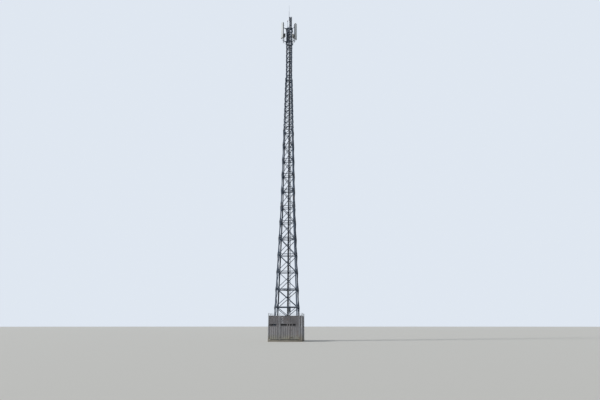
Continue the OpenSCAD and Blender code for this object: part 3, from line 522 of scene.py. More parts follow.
def hoop(path, across, width, thickness):
    """Closed flat band: a width x thickness section carried round a path; across is its width."""
    path, across = np.asarray(path, float), np.asarray(across, float)
    along = np.roll(path, -1, 0) - np.roll(path, 1, 0)
    out = np.cross(along, across)
    out /= np.linalg.norm(out, axis=1, keepdims=True)
    corners = np.array([[0, -1], [0, 1], [1, 1], [1, -1]])
    outward = corners[:, :1] * thickness * out[:, None]
    rings = path[:, None] + outward + corners[:, 1:] * width / 2 * across
    m = len(path)
    i, j = np.meshgrid(np.arange(m), np.arange(4), indexing="ij")
    a, b = i * 4 + j, i * 4 + (j + 1) % 4
    c, d = (i + 1) % m * 4 + (j + 1) % 4, (i + 1) % m * 4 + j
    return rings.reshape(-1, 3), [np.stack([a, b, c, d], -1).reshape(-1, 4)]


example = turned([(1, 0), (1, 1), (0.5, 2)], 8)
print("a loft of 3 rings of 8 points has", len(example[1][0]), "side faces")

# %% Joining, repeating and placing shapes
def join(shapes):
    """One shape from several: each shape's face numbers are shifted past the earlier points."""
    shapes = list(shapes)
    starts = np.cumsum([0] + [len(points) for points, _ in shapes[:-1]])
    faces = [corners + start for (_, faces), start in zip(shapes, starts) for corners in faces]
    return np.concatenate([points for points, _ in shapes]), faces


def copies(shape, places):
    """The shape at every place: points turned and moved by each 4 x 4 matrix, in one product."""
    points, faces = shape
    places = np.asarray(places, float).reshape(-1, 4, 4)
    spread = np.einsum("mij,nj->mni", places[:, :3, :3], points) + places[:, None, :3, 3]
    shift = len(points) * np.arange(len(places))[:, None, None]
    return spread.reshape(-1, 3), [(corners + shift).reshape(-1, corners.shape[1]) for corners in faces]


def moved(x, y, z):
    """4 x 4 matrix that moves by x, y and z."""
    return np.array(Matrix.Translation((x, y, z)))


def frame_at(x, y, z, turn=0.0):
    """Place at x, y, z from the tower's axis, turned by an angle in degrees about the vertical."""
    place = Matrix.Translation((TOWER_X + x, y, z)) @ Matrix.Rotation(math.radians(turn), 4, "Z")
    return np.array(place)


def spots(base, points, scale=1.0, direction=None):
    """Places at points of a base, each scaled; with a direction, the shape's own Z is turned to it."""
    points = np.asarray(points, float).reshape(-1, 3)
    turn = np.eye(3)
    if direction is not None:
        turn = np.array(Vector(direction).to_track_quat("Z", "Y").to_matrix())
    places = np.repeat(np.asarray(base, float)[None], len(points), 0)
    places[:, :3, 3] += np.einsum("ij,nj->ni", base[:3, :3], points)
    places[:, :3, :3] = scale * (base[:3, :3] @ turn)
    return places


def stamped(shape, base, points, scale=1.0, direction=None):
    """The shape at points of a base, scaled and turned."""
    return copies(shape, spots(base, points, scale, direction))


def placed(shape, points, scale=1.0, direction=None):
    """The shape at points of its own frame, scaled and turned, to be part of a larger shape."""
    return stamped(shape, np.eye(4), points, scale, direction)


def both(points):
    """The points and their mirror images across X = 0."""
    points = np.asarray(points, float).reshape(-1, 3)
    return np.concatenate([points, points * (-1, 1, 1)])


def make_piece(name, shape, kind, body="tower"):
    """Mesh object from a shape, smooth except over sharp edges, in its kind's finish (the kind's slot is
    not used); it rides on a body.
    """
    points, faces = shape
    slot, finish = kind
    corners = np.concatenate([group.ravel() for group in faces]).astype(np.int32)
    counts = np.concatenate([np.full(len(group), group.shape[1]) for group in faces])
    mesh = bpy.data.meshes.new(name)
    mesh.vertices.add(len(points))
    mesh.vertices.foreach_set("co", points.astype(np.float32).ravel())
    mesh.loops.add(len(corners))
    mesh.loops.foreach_set("vertex_index", corners)
    mesh.polygons.add(len(counts))
    mesh.polygons.foreach_set("loop_start", (np.cumsum(counts) - counts).astype(np.int32))
    mesh.update(calc_edges=True)
    mesh.polygons.foreach_set("use_smooth", np.ones(len(counts), bool))
    mesh.set_sharp_from_angle(angle=SHARP_FROM)
    mesh.materials.append(finish)
    piece = bpy.data.objects.new(name, mesh)
    bpy.context.scene.collection.objects.link(piece)
    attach(piece, body)
    print(name, "has", int((counts - 2).sum()), "triangles")
    return piece


SHARP_FROM = math.radians(35)
QUARTERS = (0, 90, 180, 270)
AXIS = frame_at(0, 0, 0)
print("placing helpers ready, the tower's axis at X", round(AXIS[0, 3], 3))

# %% [markdown]
# ## The tower's own sizes
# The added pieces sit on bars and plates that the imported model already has. Its places could be read
# from the boxes of its parts, but the bars lean, so their boxes say little. The driving sizes are
# repeated here instead, in metres, and every height and width follows from them as in the source.

# %% Sizes of the lattice
SEAT = 0.0003
SLAB_TOP, BLOCK_TOP, FOOT_TOP = 0.15, 0.23, 0.25
BASE_SIDE, MID_SIDE, TOP_SIDE, HEAD_SIDE = 2.35, 1.32, 0.7, 0.6
FIRST_LEVEL, TALL_PANEL, TALL_COUNT, BEND_COUNT = 1.41, 1.67, 12, 7
SHORT_PANEL, SHORT_COUNT, HEAD_PANEL, HEAD_COUNT = 0.635, 10, 0.585, 11
LEG_W, MID_LEG_W, TOP_LEG_W, HEAD_LEG_W = 0.12, 0.1, 0.08, 0.07
BRACE_W, SHORT_BRACE_W, HEAD_BRACE_W = 0.06, 0.045, 0.04
BRACE_T, SHORT_BRACE_T, HEAD_BRACE_T = 0.006, 0.005, 0.004
GUSSET_H, GUSSET_T, RING_PLATE_T = 0.21, 0.008, 0.012
TAPER_MID = FIRST_LEVEL + TALL_COUNT * TALL_PANEL
TAPER_TOP = TAPER_MID + SHORT_COUNT * SHORT_PANEL
BEND_Z = FIRST_LEVEL + BEND_COUNT * TALL_PANEL
HEAD_BASE = TAPER_TOP + RING_PLATE_T
HEAD_TOP = HEAD_BASE + HEAD_COUNT * HEAD_PANEL
LOW_LEAN = math.atan((BASE_SIDE - MID_SIDE) / 2 / (BEND_Z - FOOT_TOP))
HIGH_LEAN = math.atan((MID_SIDE - TOP_SIDE) / 2 / (TAPER_TOP - BEND_Z))


def side_at(z):
    """Distance between the legs' outer faces: straight from the feet to the bend and on from there."""
    return float(np.interp(z, [FOOT_TOP, BEND_Z, TAPER_TOP], [BASE_SIDE, MID_SIDE, TOP_SIDE]))


def level_z(i):
    """Height of a tall panel's top; the one at the bend stays half a gusset below it."""
    return FIRST_LEVEL + i * TALL_PANEL - (GUSSET_H / 2 + 0.005 if i == BEND_COUNT else 0)


def side_frame(turn, start, lean):
    """Frame of one side: X across it, Y up its slope from height start, Z outwards from its face."""
    place = Matrix.Translation((TOWER_X, 0, 0)) @ Matrix.Rotation(math.radians(turn), 4, "Z")
    place = place @ Matrix.Translation((0, -side_at(start) / 2, start))
    place = place @ Matrix.Rotation(math.pi / 2 - lean, 4, "X")
    return np.array(place @ Matrix.Translation((0, 0, SEAT)))


print("head from", HEAD_BASE, "to", round(HEAD_TOP, 3), "leans", round(math.degrees(LOW_LEAN), 2))

# %% [markdown]
# ## Bolts
# A real tower of this size is held by well over a thousand bolts, and their heads catch the light in
# pairs along each leg. A bolt could be a cylinder with six sides, but the washer and the end of the
# thread are what the eye knows it by. So it is a ten-sided washer, a six-sided nut with a turned-down
# top, and the blunt end of the thread. That is 34 faces in all, because it is repeated so often.

# %% One bolt and its places on a gusset
def bolt_shape(thread=0.012):
    """Washer, nut and thread end of a 20 mm bolt, standing on Z = 0."""
    washer = turned([(0.0185, 0), (0.0185, 0.003)], 10)
    nut = turned([(0.0165, 0.003), (0.0165, 0.0165), (0.0138, 0.019)], 6)
    end = turned([(0.0098, 0.018), (0.0098, 0.019 + thread)], 6)
    return join([washer, nut, end])


def toward(start, end, distances):
    """Points on the line from start towards end at the given distances from start."""
    step = (np.asarray(end, float) - start) / np.linalg.norm(np.asarray(end, float) - start)
    return start + np.outer(distances, step)


def panel_ends(low, high, half_low, half_high, along):
    """Points near the four ends of a panel's two crossed bars, and where the bars cross."""
    bottom, top = np.array([half_low, low, 0.0]), np.array([half_high, high, 0.0])
    up = toward(bottom, top * (-1, 1, 1), along)
    down = toward(top, bottom * (-1, 1, 1), along)
    middle = np.array([[0, low + (high - low) * half_low / (half_low + half_high), 0]])
    return both(up), both(down), middle


bolt = bolt_shape()
print("one bolt has", sum(len(group) for group in bolt[1]), "faces")

# %% Bolts of the tall panels, 20 mm thick
BAR_BOLTS = (0.05, 0.105)
LEG_BOLTS = (-0.078, -0.026, 0.026, 0.078)
RAIL_BOLTS = (0.03, 0.078)


def tall_bolts(turn, start, lean, bottoms, tops, inset):
    """Places of all bolts of one side's tall panels, outside the gussets and the crossing bars."""
    side = side_frame(turn, start, lean)
    places = []
    for bottom, top in zip(bottoms, tops):
        low, high = (bottom - start) / math.cos(lean), (top - start) / math.cos(lean)
        half_low, half_high = side_at(bottom) / 2 - inset, side_at(top) / 2 - inset
        up, down, middle = panel_ends(low, high, half_low, half_high, BAR_BOLTS)
        plate = [(half_high + inset - 0.033, high + s, 0) for s in LEG_BOLTS]
        rail = [(half_high - s, high + 0.003, 0) for s in RAIL_BOLTS]
        places.append(spots(side, np.concatenate([down, both(plate), both(rail)]) + (0, 0, GUSSET_T)))
        places.append(spots(side, up + (0, 0, GUSSET_T if bottom in tops else BRACE_T)))
        places.append(spots(side, middle + (0, 0, BRACE_T)))
    return np.concatenate(places)


def all_round(start, lean, bottom, tops, inset):
    """Places of the bolts of all four sides, for panels that stand on one another from bottom on."""
    bottoms = [bottom] + tops[:-1]
    return np.concatenate([tall_bolts(turn, start, lean, bottoms, tops, inset) for turn in QUARTERS])


low_tops = [level_z(i) for i in range(BEND_COUNT + 1)]
high_tops = [level_z(i) for i in range(BEND_COUNT + 1, TALL_COUNT + 1)]
low_places = all_round(FOOT_TOP, LOW_LEAN, FOOT_TOP + 0.14, low_tops, LEG_W / 2)
high_places = all_round(BEND_Z, HIGH_LEAN, BEND_Z + BRACE_W, high_tops, MID_LEG_W / 2)
make_piece("lattice_bolts_low", copies(bolt, low_places), BOLTS)
make_piece("lattice_bolts_middle", copies(bolt, high_places), BOLTS)
print("bolts of the tall panels:", len(low_places) + len(high_places))

# %% Bolts of the short panels and the head, 14 and 12 mm thick
SHORT_SCALE, HEAD_SCALE = 0.7, 0.6


def light_bolts(base, starts, tops, halves, inset, wall, scale):
    """Places of the bolts where light bars end on a leg: three at each end of a level."""
    places = []
    for low, high, (half_low, half_high) in zip(starts, tops, halves):
        end = [0.042 * scale / SHORT_SCALE]
        up, down, middle = panel_ends(low, high, half_low - inset, half_high - inset, end)
        rail = both([[half_high - inset - 0.02, high + 0.002, 0]])
        points = np.concatenate([up, down, rail, middle]) + (0, 0, wall)
        places.append(spots(base, points, scale))
    return np.concatenate(places)


short_tops = [TAPER_MID + i * SHORT_PANEL for i in range(1, SHORT_COUNT)] + [TAPER_TOP - SHORT_BRACE_W]
short_starts = [TAPER_MID + BRACE_W / 2] + short_tops[:-1]
short_halves = [(side_at(low) / 2, side_at(high) / 2) for low, high in zip(short_starts, short_tops)]
slope_starts = [(z - BEND_Z) / math.cos(HIGH_LEAN) for z in short_starts]
slope_tops = [(z - BEND_Z) / math.cos(HIGH_LEAN) for z in short_tops]
head_rows = [0.032] + [i * HEAD_PANEL for i in range(1, HEAD_COUNT)]
head_rows.append(HEAD_COUNT * HEAD_PANEL - HEAD_BRACE_W / 2)
head_halves = [(HEAD_SIDE / 2, HEAD_SIDE / 2)] * HEAD_COUNT
head_step = moved(0, RING_PLATE_T, (HEAD_SIDE - TOP_SIDE) / 2)
light_places = []
for turn in QUARTERS:
    leaning, upright = side_frame(turn, BEND_Z, HIGH_LEAN), side_frame(turn, TAPER_TOP, 0) @ head_step
    light_places.append(light_bolts(
        leaning, slope_starts, slope_tops, short_halves, TOP_LEG_W / 2, SHORT_BRACE_T, SHORT_SCALE
    ))
    light_places.append(light_bolts(
        upright, head_rows[:-1], head_rows[1:], head_halves, HEAD_LEG_W / 2, HEAD_BRACE_T, HEAD_SCALE
    ))
make_piece("lattice_bolts_high", copies(bolt_shape(0.008), np.concatenate(light_places)), BOLTS)
print("bolts of the light panels:", sum(len(places) for places in light_places))

# %% Bolts of the leg splices and of the plate ring under the head
ROWS_UP, ROW_DOWN = (0.03, 0.085, 0.14, 0.195), 0.238
SPLICE_SCALE = 0.9
change = TAPER_MID + 0.2 - BEND_Z
change_rows = (-0.075, -0.025, *ROWS_UP, 0.235)
slope_row = (BEND_Z - FOOT_TOP) / math.cos(LOW_LEAN) - ROW_DOWN
above_bend = [(side_at(BEND_Z + y) / 2 - x, y, 0) for x in (0.028, 0.074) for y in ROWS_UP]
below_bend = [(side_at(BEND_Z - ROW_DOWN) / 2 - x, slope_row, 0) for x in (0.03, 0.09)]
at_change = [(side_at(BEND_Z + change + y) / 2 - 0.018, change + y, 0) for y in change_rows]
ring_bolts = [(x, -HEAD_SIDE / 2 - 0.03, HEAD_BASE) for x in (-0.2, -0.1, 0, 0.1, 0.2)]
splice_rows = []
for turn in QUARTERS:
    upper, lower = side_frame(turn, BEND_Z, HIGH_LEAN), side_frame(turn, FOOT_TOP, LOW_LEAN)
    splice_rows.append(spots(upper, both(above_bend), SPLICE_SCALE))
    splice_rows.append(spots(lower, both(below_bend), SPLICE_SCALE))
    splice_rows.append(spots(upper, both(at_change), SHORT_SCALE))
    splice_rows.append(spots(frame_at(0, 0, 0, turn), ring_bolts, SPLICE_SCALE))
make_piece("splice_bolts", copies(bolt, np.concatenate(splice_rows)), BOLTS)
print("splice and ring bolts:", sum(len(rows) for rows in splice_rows))

# %% [markdown]
# ## Feet
# Each foot plate stands on mortar on its concrete block, and long threaded rods cast into the block
# hold it down with a nut and a lock nut. The mortar's sloping edge is what makes the joint look
# poured. It is four rounded rectangles, one above the other, each a little smaller.

# %% Mortar and anchor bolts
foot_middle = -BASE_SIDE / 2 + LEG_W / 2
to_foot = moved(foot_middle, foot_middle, 0)
foot_places = np.array([frame_at(0, 0, 0, turn) @ to_foot for turn in QUARTERS])
mortar_steps = [(0.37, 0.0), (0.364, 0.006), (0.34, 0.014), (0.322, 0.0155)]
mortar_rings = [rounded_path(size, size, 0.02, 3) + (0, 0, BLOCK_TOP + h) for size, h in mortar_steps]
make_piece("foot_mortar", copies(loft(np.array(mortar_rings)), foot_places), MORTAR)
anchor = join([
    turned([(0.034, 0), (0.034, 0.005)], 12),
    turned([(0.0275, 0.005), (0.0275, 0.028), (0.024, 0.031)], 6),
    turned([(0.0275, 0.032), (0.0275, 0.046), (0.024, 0.049)], 6, 0.4),
    turned([(0.0148, 0.03), (0.0148, 0.088), (0.012, 0.092)], 10),
])
anchor_xy = [(-0.115, -0.115), (-0.115, 0.1), (0.1, -0.115), (0.108, 0.108)]
anchor_places = [spots(place, [(x, y, FOOT_TOP) for x, y in anchor_xy]) for place in foot_places]
make_piece("anchor_bolts", copies(anchor, np.concatenate(anchor_places)), BOLTS)

# %% [markdown]
# ## Ladder and feeder cables
# The ladder is clamped to every crossbar, and a rail in its middle guides a climber's safety catch.
# The five feeders lie in black blocks at the crossbars and are strapped together between them. Straps
# are closed bands round the whole bundle, and a boot of self-sealing tape covers every joint.

# %% Clamps of the ladder and joints of its guide rail
LADDER_X, LADDER_W, LADDER_Y = 0.13, 0.3, 0.06
RAIL_W, RAIL_D, LADDER_TOP = 0.05, 0.045, HEAD_TOP + 1.89
BAR_Y = LADDER_Y + RAIL_D + SEAT
BAR_D = 0.04
FEEDER_X, FEEDER_Y, FEEDER_PITCH, FEEDER_R = 0.07, BAR_Y + BAR_D + SEAT + 0.021, 0.032, 0.015
LOWER_RING, UPPER_RING = HEAD_TOP - 0.05 - 1.74, HEAD_TOP - 0.05
ENTRY_H = 0.32
FEEDER_LOW, FEEDER_HIGH = SLAB_TOP + ENTRY_H, LOWER_RING - 0.15
crossbars = [level_z(i) for i in range(TALL_COUNT)]
crossbars += [TAPER_MID + i * SHORT_PANEL for i in (1, 4, 7)]
head_crossbars = [HEAD_BASE + i * HEAD_PANEL for i in (1, 4, 7, 10)]
cleat = join([
    placed(block(0.05, 0.037, 0.006, 0.0012), [(0.025, 0.0195, 0)]),
    placed(block(0.006, 0.076, 0.06, 0.0012), [(0.003, 0, 0)]),
    placed(bolt, [(0.03, 0.0195, 0.006)], 0.6),
    placed(bolt, [(0.006, -0.02, 0.035)], 0.6, (1, 0, 0)),
])
cleat_points = [(LADDER_W / 2, BAR_Y, z + 0.02) for z in crossbars + head_crossbars]
right_cleats = stamped(cleat, frame_at(LADDER_X, 0, 0), cleat_points)
left_points = right_cleats[0] * (-1, 1, 1) + (2 * (TOWER_X + LADDER_X), 0, 0)
left_cleats = (left_points, [corners[:, ::-1] for corners in right_cleats[1]])
make_piece("ladder_clamps", join([right_cleats, left_cleats]), BOLTS)
screw = turned([(0.0052, -0.001), (0.0052, 0.0016), (0.0038, 0.003), (0.001, 0.0034)], 8)
joint_screws = placed(screw, [(0, -0.003, z) for z in (0.03, 0.065, 0.1, 0.135)], 1.3, (0, -1, 0))
catch_joint = join([block(0.052, 0.006, 0.16, 0.0012), joint_screws])
catch_points = [(LADDER_X, LADDER_Y - 0.0035, z) for z in np.arange(1.6, LADDER_TOP - 0.5, 3.0)]
make_piece("safety_rail_joints", stamped(catch_joint, AXIS, catch_points), BOLTS)

# %% Straps round the feeder bundle
bundle = rounded_path(5 * FEEDER_PITCH - 0.002 + 0.0006, 2 * FEEDER_R + 0.0006, FEEDER_R)
strap = hoop(bundle, (0, 0, 1), 0.012, 0.0015)
buckle = copies(block(0.016, 0.007, 0.016, 0.002), [moved(0.012, -FEEDER_R - 0.004, -0.008)])
held = np.array(sorted(crossbars + [z for z in head_crossbars if z < FEEDER_HIGH]))
strap_zs = [z for z in np.arange(0.75, FEEDER_HIGH - 0.2, 0.55) if np.abs(held - z).min() > 0.06]
strap_points = [(FEEDER_X, FEEDER_Y, z) for z in strap_zs]
make_piece("feeder_straps", stamped(join([strap, buckle]), AXIS, strap_points), BOLTS)

# %% Boots and caps at the ends of the feeders
feeder_xs = FEEDER_X + (np.arange(5) - 2) * FEEDER_PITCH
gland_edge = [(0.0225, 0), (0.0225, 0.012), (0.0195, 0.02), (0.0195, 0.034), (0.0165, 0.045)]
gland = turned([*gland_edge, (0.0151, 0.05)], 20)
sleeve_edge = [(0.0151, -0.16), (0.0175, -0.15), (0.0182, -0.1), (0.0178, -0.05), (0.0186, -0.02)]
sleeve = turned([*sleeve_edge, (0.0155, -0.002), (0.013, 0.0)], 18)
end_cap = turned([(0.0165, -0.03), (0.0165, 0.004), (0.013, 0.012), (0.006, 0.016)], 18)
boots = join([
    stamped(gland, AXIS, [(x, FEEDER_Y, FEEDER_LOW) for x in feeder_xs]),
    stamped(sleeve, AXIS, [(x, FEEDER_Y, FEEDER_HIGH) for x in feeder_xs]),
    stamped(end_cap, AXIS, [(feeder_xs[i], FEEDER_Y, FEEDER_HIGH) for i in (1, 3)]),
])
make_piece("feeder_boots", boots, JACKET)

# %% [markdown]
# ## Jumper cables
# Thin flexible cables lead from the feeders to the radio units and from those to the antennas. In the
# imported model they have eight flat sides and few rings. Here the same points, taken over from the
# source, carry a smooth curve through them with a round skin, and boots cover both ends.

# %% Where the antennas stand
SECTOR, FACING, NAMES = (218, 322, 102), (232, 342, 102), ("left", "right", "back")
ANTENNA_RISE, ANTENNA_LEN, ANTENNA_W, ANTENNA_D = (0.29, 0.12, 0.8), 2.03, 0.33, 0.16
PIPE_R, PIPE_D, ANTENNA_GAP, RADIO_GAP, RADIO_D, RADIO_UP = 0.8, 0.076, 0.06, 0.03, 0.13, 0.29
RADIO_H, RADIO_W, CONNECTOR_H, CONNECTOR_Y = 0.42, 0.3, 0.034, ANTENNA_W / 3
ANTENNA_BACK = PIPE_D / 2 + ANTENNA_GAP
RADIO_BACK = PIPE_D / 2 + RADIO_GAP
RADIO_X = -RADIO_BACK - RADIO_D / 2


def pipe_frame(i, height):
    """Frame on a sector's pipe axis at a height: X points where the antenna faces."""
    a = math.radians(SECTOR[i])
    return frame_at(PIPE_R * math.cos(a), PIPE_R * math.sin(a), height, FACING[i])


def smooth_line(points, steps):
    """Cubic curve through points: its slope at one is half the step between its neighbours."""
    p = np.asarray(points, float)
    p = np.concatenate([2 * p[:1] - p[1:2], p, 2 * p[-1:] - p[-2:-1]])
    t = np.linspace(0, 1, steps, endpoint=False)[None, :, None]
    a, b, c, d = p[:-3, None], p[1:-2, None], p[2:-1, None], p[3:, None]
    bends = 2 * b + (c - a) * t + (2 * a - 5 * b + 4 * c - d) * t**2
    bends = (bends + (3 * b - a - 3 * c + d) * t**3) / 2
    return np.concatenate([bends.reshape(-1, 3), p[-2:-1]])


def boot(line, length, radius):
    """Sleeve over the start of a cable: the cable's own line up to a length, with a ribbed radius."""
    run = np.concatenate([[0], np.cumsum(np.linalg.norm(np.diff(line, axis=0), axis=1))])
    steps = np.linspace(0, length, 14)
    path = np.stack([np.interp(steps, run, line[:, k]) for k in range(3)], -1)
    ribs = np.array([4.5, 4.5, 3.2, 4, 3.2, 4, 3.2, 4, 3.2, 3.8, 3, 2.6, 1.6, 0.3]) / 1000
    return sweep(path, radius + ribs, 14)


def end_boots(line, length, radius):
    """Sleeves over both ends of a cable."""
    return join([boot(line, length, radius), boot(line[::-1], length, radius)])


bottoms = [LOWER_RING + rise for rise in ANTENNA_RISE]
print("antenna bottoms at", [round(bottom, 3) for bottom in bottoms])

# %% Smooth jumper cables
JUMPER_ROUTE = (
    ((-0.04, 0.165, -0.1), (-0.11, 0.16, -0.065), (-0.2, 0.145, -0.06), (-0.3, 0.13, -0.06),
     (-0.395, 0.11, -0.07), (-0.44, 0.01, -0.09), (-0.465, -0.14, -0.085), (-0.49, -0.26, -0.02),
     (-0.535, -0.365, 0.13), (-0.547, -0.385, 0.3)),
    ((0.15, 0.165, -0.1), (0.19, 0.16, -0.065), (0.24, 0.15, -0.06), (0.3, 0.13, -0.06),
     (0.395, 0.105, -0.07), (0.45, 0.02, -0.09), (0.48, -0.11, -0.08), (0.5, -0.23, -0.01),
     (0.508, -0.33, 0.1), (0.505, -0.41, 0.2)),
    ((0.066, 0.17, -0.09), (0.04, 0.195, 0.02), (-0.01, 0.25, 0.12), (-0.045, 0.32, 0.17),
     (-0.075, 0.43, 0.21), (-0.105, 0.56, 0.26), (-0.138, 0.645, 0.4)),
)
JUMPER_R, LOOP_R = 0.01, 0.008
out, back = ANTENNA_BACK + 0.3 * ANTENNA_D, -RADIO_X
radius, middle = (out + back) / 2, (out - back) / 2
t = np.linspace(0, np.pi, 33)
arc = np.stack([middle + radius * np.cos(t), 0 * t, -0.01 - radius * np.sin(t)], -1)
rise = np.linspace((-back, 0, 0.02), (-back, 0, RADIO_UP), 6)
loop_line = np.concatenate([[(out, 0, 0), (out, 0, -0.005)], arc, rise])
loop = sweep(loop_line, LOOP_R, 14, (0, 1, 0.02))
loop_boots = end_boots(loop_line, 0.06, LOOP_R)
socket_ys = (-CONNECTOR_Y, CONNECTOR_Y)
jumper_boots = []
for i, name in enumerate(NAMES):
    start = np.array([feeder_xs[(0, 4, 2)[i]], FEEDER_Y, FEEDER_HIGH + SEAT])
    end = pipe_frame(i, bottoms[i] + RADIO_UP - CONNECTOR_H - SEAT) @ (RADIO_X, 0, 0, 1)
    end = end[:3] - (TOWER_X, 0, 0)
    route = np.array(JUMPER_ROUTE[i]) + (0, 0, LOWER_RING)
    points = np.concatenate([[start, start + (0, 0, 0.015)], route, [end - (0, 0, 0.06), end]])
    line = smooth_line(points, 6) + (TOWER_X, 0, 0)
    jumper = make_piece("jumper_" + name, sweep(line, JUMPER_R, 16), JACKET)
    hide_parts("jumper_cables")
    places = spots(pipe_frame(i, bottoms[i] - CONNECTOR_H - SEAT), [(0, y, 0) for y in socket_ys])
    loops = make_piece("antenna_loops_" + name, copies(loop, places), JACKET)
    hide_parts("jumper_cables")
    jumper_boots += [end_boots(line, 0.075, JUMPER_R), copies(loop_boots, places)]
make_piece("jumper_boots", join(jumper_boots), JACKET)

# %% [markdown]
# ## Hardware of the antennas and their mounts
# U-bolts hold every pipe to its two arms, and the antennas and radio units hang on the pipe by jaws
# with long bolts. A U-bolt could be a bent cylinder from a curve object, but it is only a half circle
# with two straight legs, so its centre line is written down and swept like a cable.

# %% U-bolts and caps of the pipes
RINGS = (LOWER_RING, UPPER_RING)
u_radius = PIPE_D / 2 + 0.007
u_angles = np.linspace(-np.pi / 2, np.pi / 2, 17)
u_bow = np.stack([u_radius * np.cos(u_angles), u_radius * np.sin(u_angles), 0 * u_angles], -1)
u_start = [(-0.078, -u_radius, 0), (-0.03, -u_radius, 0)]
u_end = [(-0.03, u_radius, 0), (-0.078, u_radius, 0)]
u_nut = turned([(0.0125, 0), (0.0125, 0.009), (0.0105, 0.011)], 6)
u_nuts = placed(u_nut, [(-0.0582, -u_radius, 0), (-0.0582, u_radius, 0)], 1.0, (-1, 0, 0))
u_bolt = join([sweep(np.concatenate([u_start, u_bow, u_end]), 0.006, 8, (0, 0.05, 1)), u_nuts])
cap_edge = [(0.0395, -0.02), (0.0405, -0.018), (0.0405, 0.001), (0.036, 0.006), (0.02, 0.0095)]
pipe_cap = turned([*cap_edge, (0.004, 0.0105)], 28)
over_antenna = (-0.12, 0.03, 0.03)
u_points = [(0, 0, ring + step) for ring in RINGS for step in (0.008, 0.042)]
pipe_fittings = []
for i, bottom in enumerate(bottoms):
    arm_turn = Matrix.Rotation(math.radians(SECTOR[i] - FACING[i]), 4, "Z")
    pipe_top = pipe_frame(i, bottom + ANTENNA_LEN + over_antenna[i])
    pipe_foot = pipe_frame(i, LOWER_RING - 0.25)
    pipe_fittings.append(stamped(u_bolt, pipe_frame(i, 0) @ np.array(arm_turn), u_points))
    pipe_fittings.append(stamped(pipe_cap, pipe_top, [(0, 0, 0)]))
    pipe_fittings.append(stamped(pipe_cap, pipe_foot, [(0, 0, 0)], 1.0, (0, 0, -1)))
make_piece("pipe_fittings", join(pipe_fittings), BOLTS)

# %% Bolts of the end plates and of the ring clamps
RING_IN = HEAD_SIDE + 2 * (0.04 + 2 * SEAT)
RING_OUT = RING_IN + 0.1
RING_MIDDLE = (RING_IN + RING_OUT) / 4
plate_face = RING_OUT / 2 + SEAT + 0.008
ring_zs = [z + 0.025 for z in RINGS]
mount_places = []
for sector in SECTOR:
    face = round(sector / 90) * 90
    a = math.radians(sector)
    reach = RING_OUT / 2 / max(abs(math.cos(a)), abs(math.sin(a)))
    side = reach * math.sin(math.radians(sector - face))
    rows = [
        (plate_face, side + y, z + h)
        for z in ring_zs for y in (-0.048, 0.048) for h in (-0.031, 0.031)
    ]
    mount_places.append(spots(frame_at(0, 0, 0, face), rows, 0.62, (1, 0, 0)))
for turn, free_sides in ((0, (-1, 1)), (90, (1,)), (180, (-1, 1)), (270, (-1,))):
    rows = [(s * (HEAD_SIDE / 2 - 0.009), -RING_OUT / 2, z) for z in ring_zs for s in free_sides]
    mount_places.append(spots(frame_at(0, 0, 0, turn), rows, 0.7, (0, -1, 0)))
make_piece("mount_bolts", copies(bolt, np.concatenate(mount_places)), BOLTS)

# %% Jaw bolts and ear bolts of the antennas and radio units
jaw_x, ear_y = PIPE_D / 2 + SEAT + 0.018, PIPE_D / 2 + 0.003
jaw_bolts = join([
    placed(bolt, [(s * jaw_x, y, 0) for y in (-0.053, 0.053)], 0.62, (s, 0, 0)) for s in (-1, 1)
])
ear_bolts = join([placed(bolt, [(jaw_x + 0.02, s * ear_y, 0)], 0.5, (0, s, 0)) for s in (-1, 1)])
antenna_clamp = join([jaw_bolts, ear_bolts])
antenna_frames = [pipe_frame(i, bottom) for i, bottom in enumerate(bottoms)]
clamp_points = [(0, 0, 0.165), (0, 0, ANTENNA_LEN - 0.205)]
jaws = [stamped(antenna_clamp, base, clamp_points) for base in antenna_frames]
jaws += [stamped(jaw_bolts, base, [(0, 0, RADIO_UP + RADIO_H / 2)]) for base in antenna_frames]
make_piece("jaw_bolts", join(jaws), BOLTS)

# %% Metal trays that close the antennas' backs, nearly black as painted shade on the antennas' sides
TRAY_T, TRAY_DEEP, TRAY_CORNER = 0.0026, 0.1, 0.012
groove = np.array([(0, 1), (0.003, 0.45), (0.009, 0.45), (0.012, 1)])
flank = np.concatenate([[(TRAY_DEEP, 1)], *[(x, 0) + groove * (-1, 1) for x in (0.083, 0.051, 0.019)]])
half_w = ANTENNA_W / 2
flank = np.stack([flank[:, 0], half_w + TRAY_T * flank[:, 1]], -1)


def tray_corner(radius):
    """Quarter of a circle round the corner between a tray's flank and its back."""
    t = np.linspace(np.pi / 2, np.pi, 7)
    x, y = TRAY_CORNER + radius * np.cos(t), half_w - TRAY_CORNER + radius * np.sin(t)
    return np.stack([x, y], -1)


back_y = np.array([0.115, 0.109, 0.101, 0.095, 0.08, 0.074, 0.066, 0.06])
back_face = np.stack([-TRAY_T * np.array([1, 0.4, 0.4, 1, 1, 0.4, 0.4, 1]), back_y], -1)
outer = np.concatenate([flank, tray_corner(TRAY_CORNER + TRAY_T), back_face])
outer = np.concatenate([outer, outer[::-1] * (1, -1)])
inner = np.concatenate([[(TRAY_DEEP, half_w - 0.0005)], tray_corner(TRAY_CORNER - 0.0005)])
inner = np.concatenate([inner, inner[::-1] * (1, -1)])
section = np.concatenate([outer, inner[::-1]])
levels = np.repeat(np.array([0.0203, ANTENNA_LEN - 0.0203])[:, None, None], len(section), 1)
antenna_tray = loft(np.concatenate([np.repeat(section[None], 2, 0), levels], -1))
# The trays' near-black finish is painted shade on the rear of each antenna's flanks.
trays = [stamped(antenna_tray, base, [(ANTENNA_BACK, 0, 0)]) for base in antenna_frames]
make_piece("antenna_trays", join(trays), TRAY)

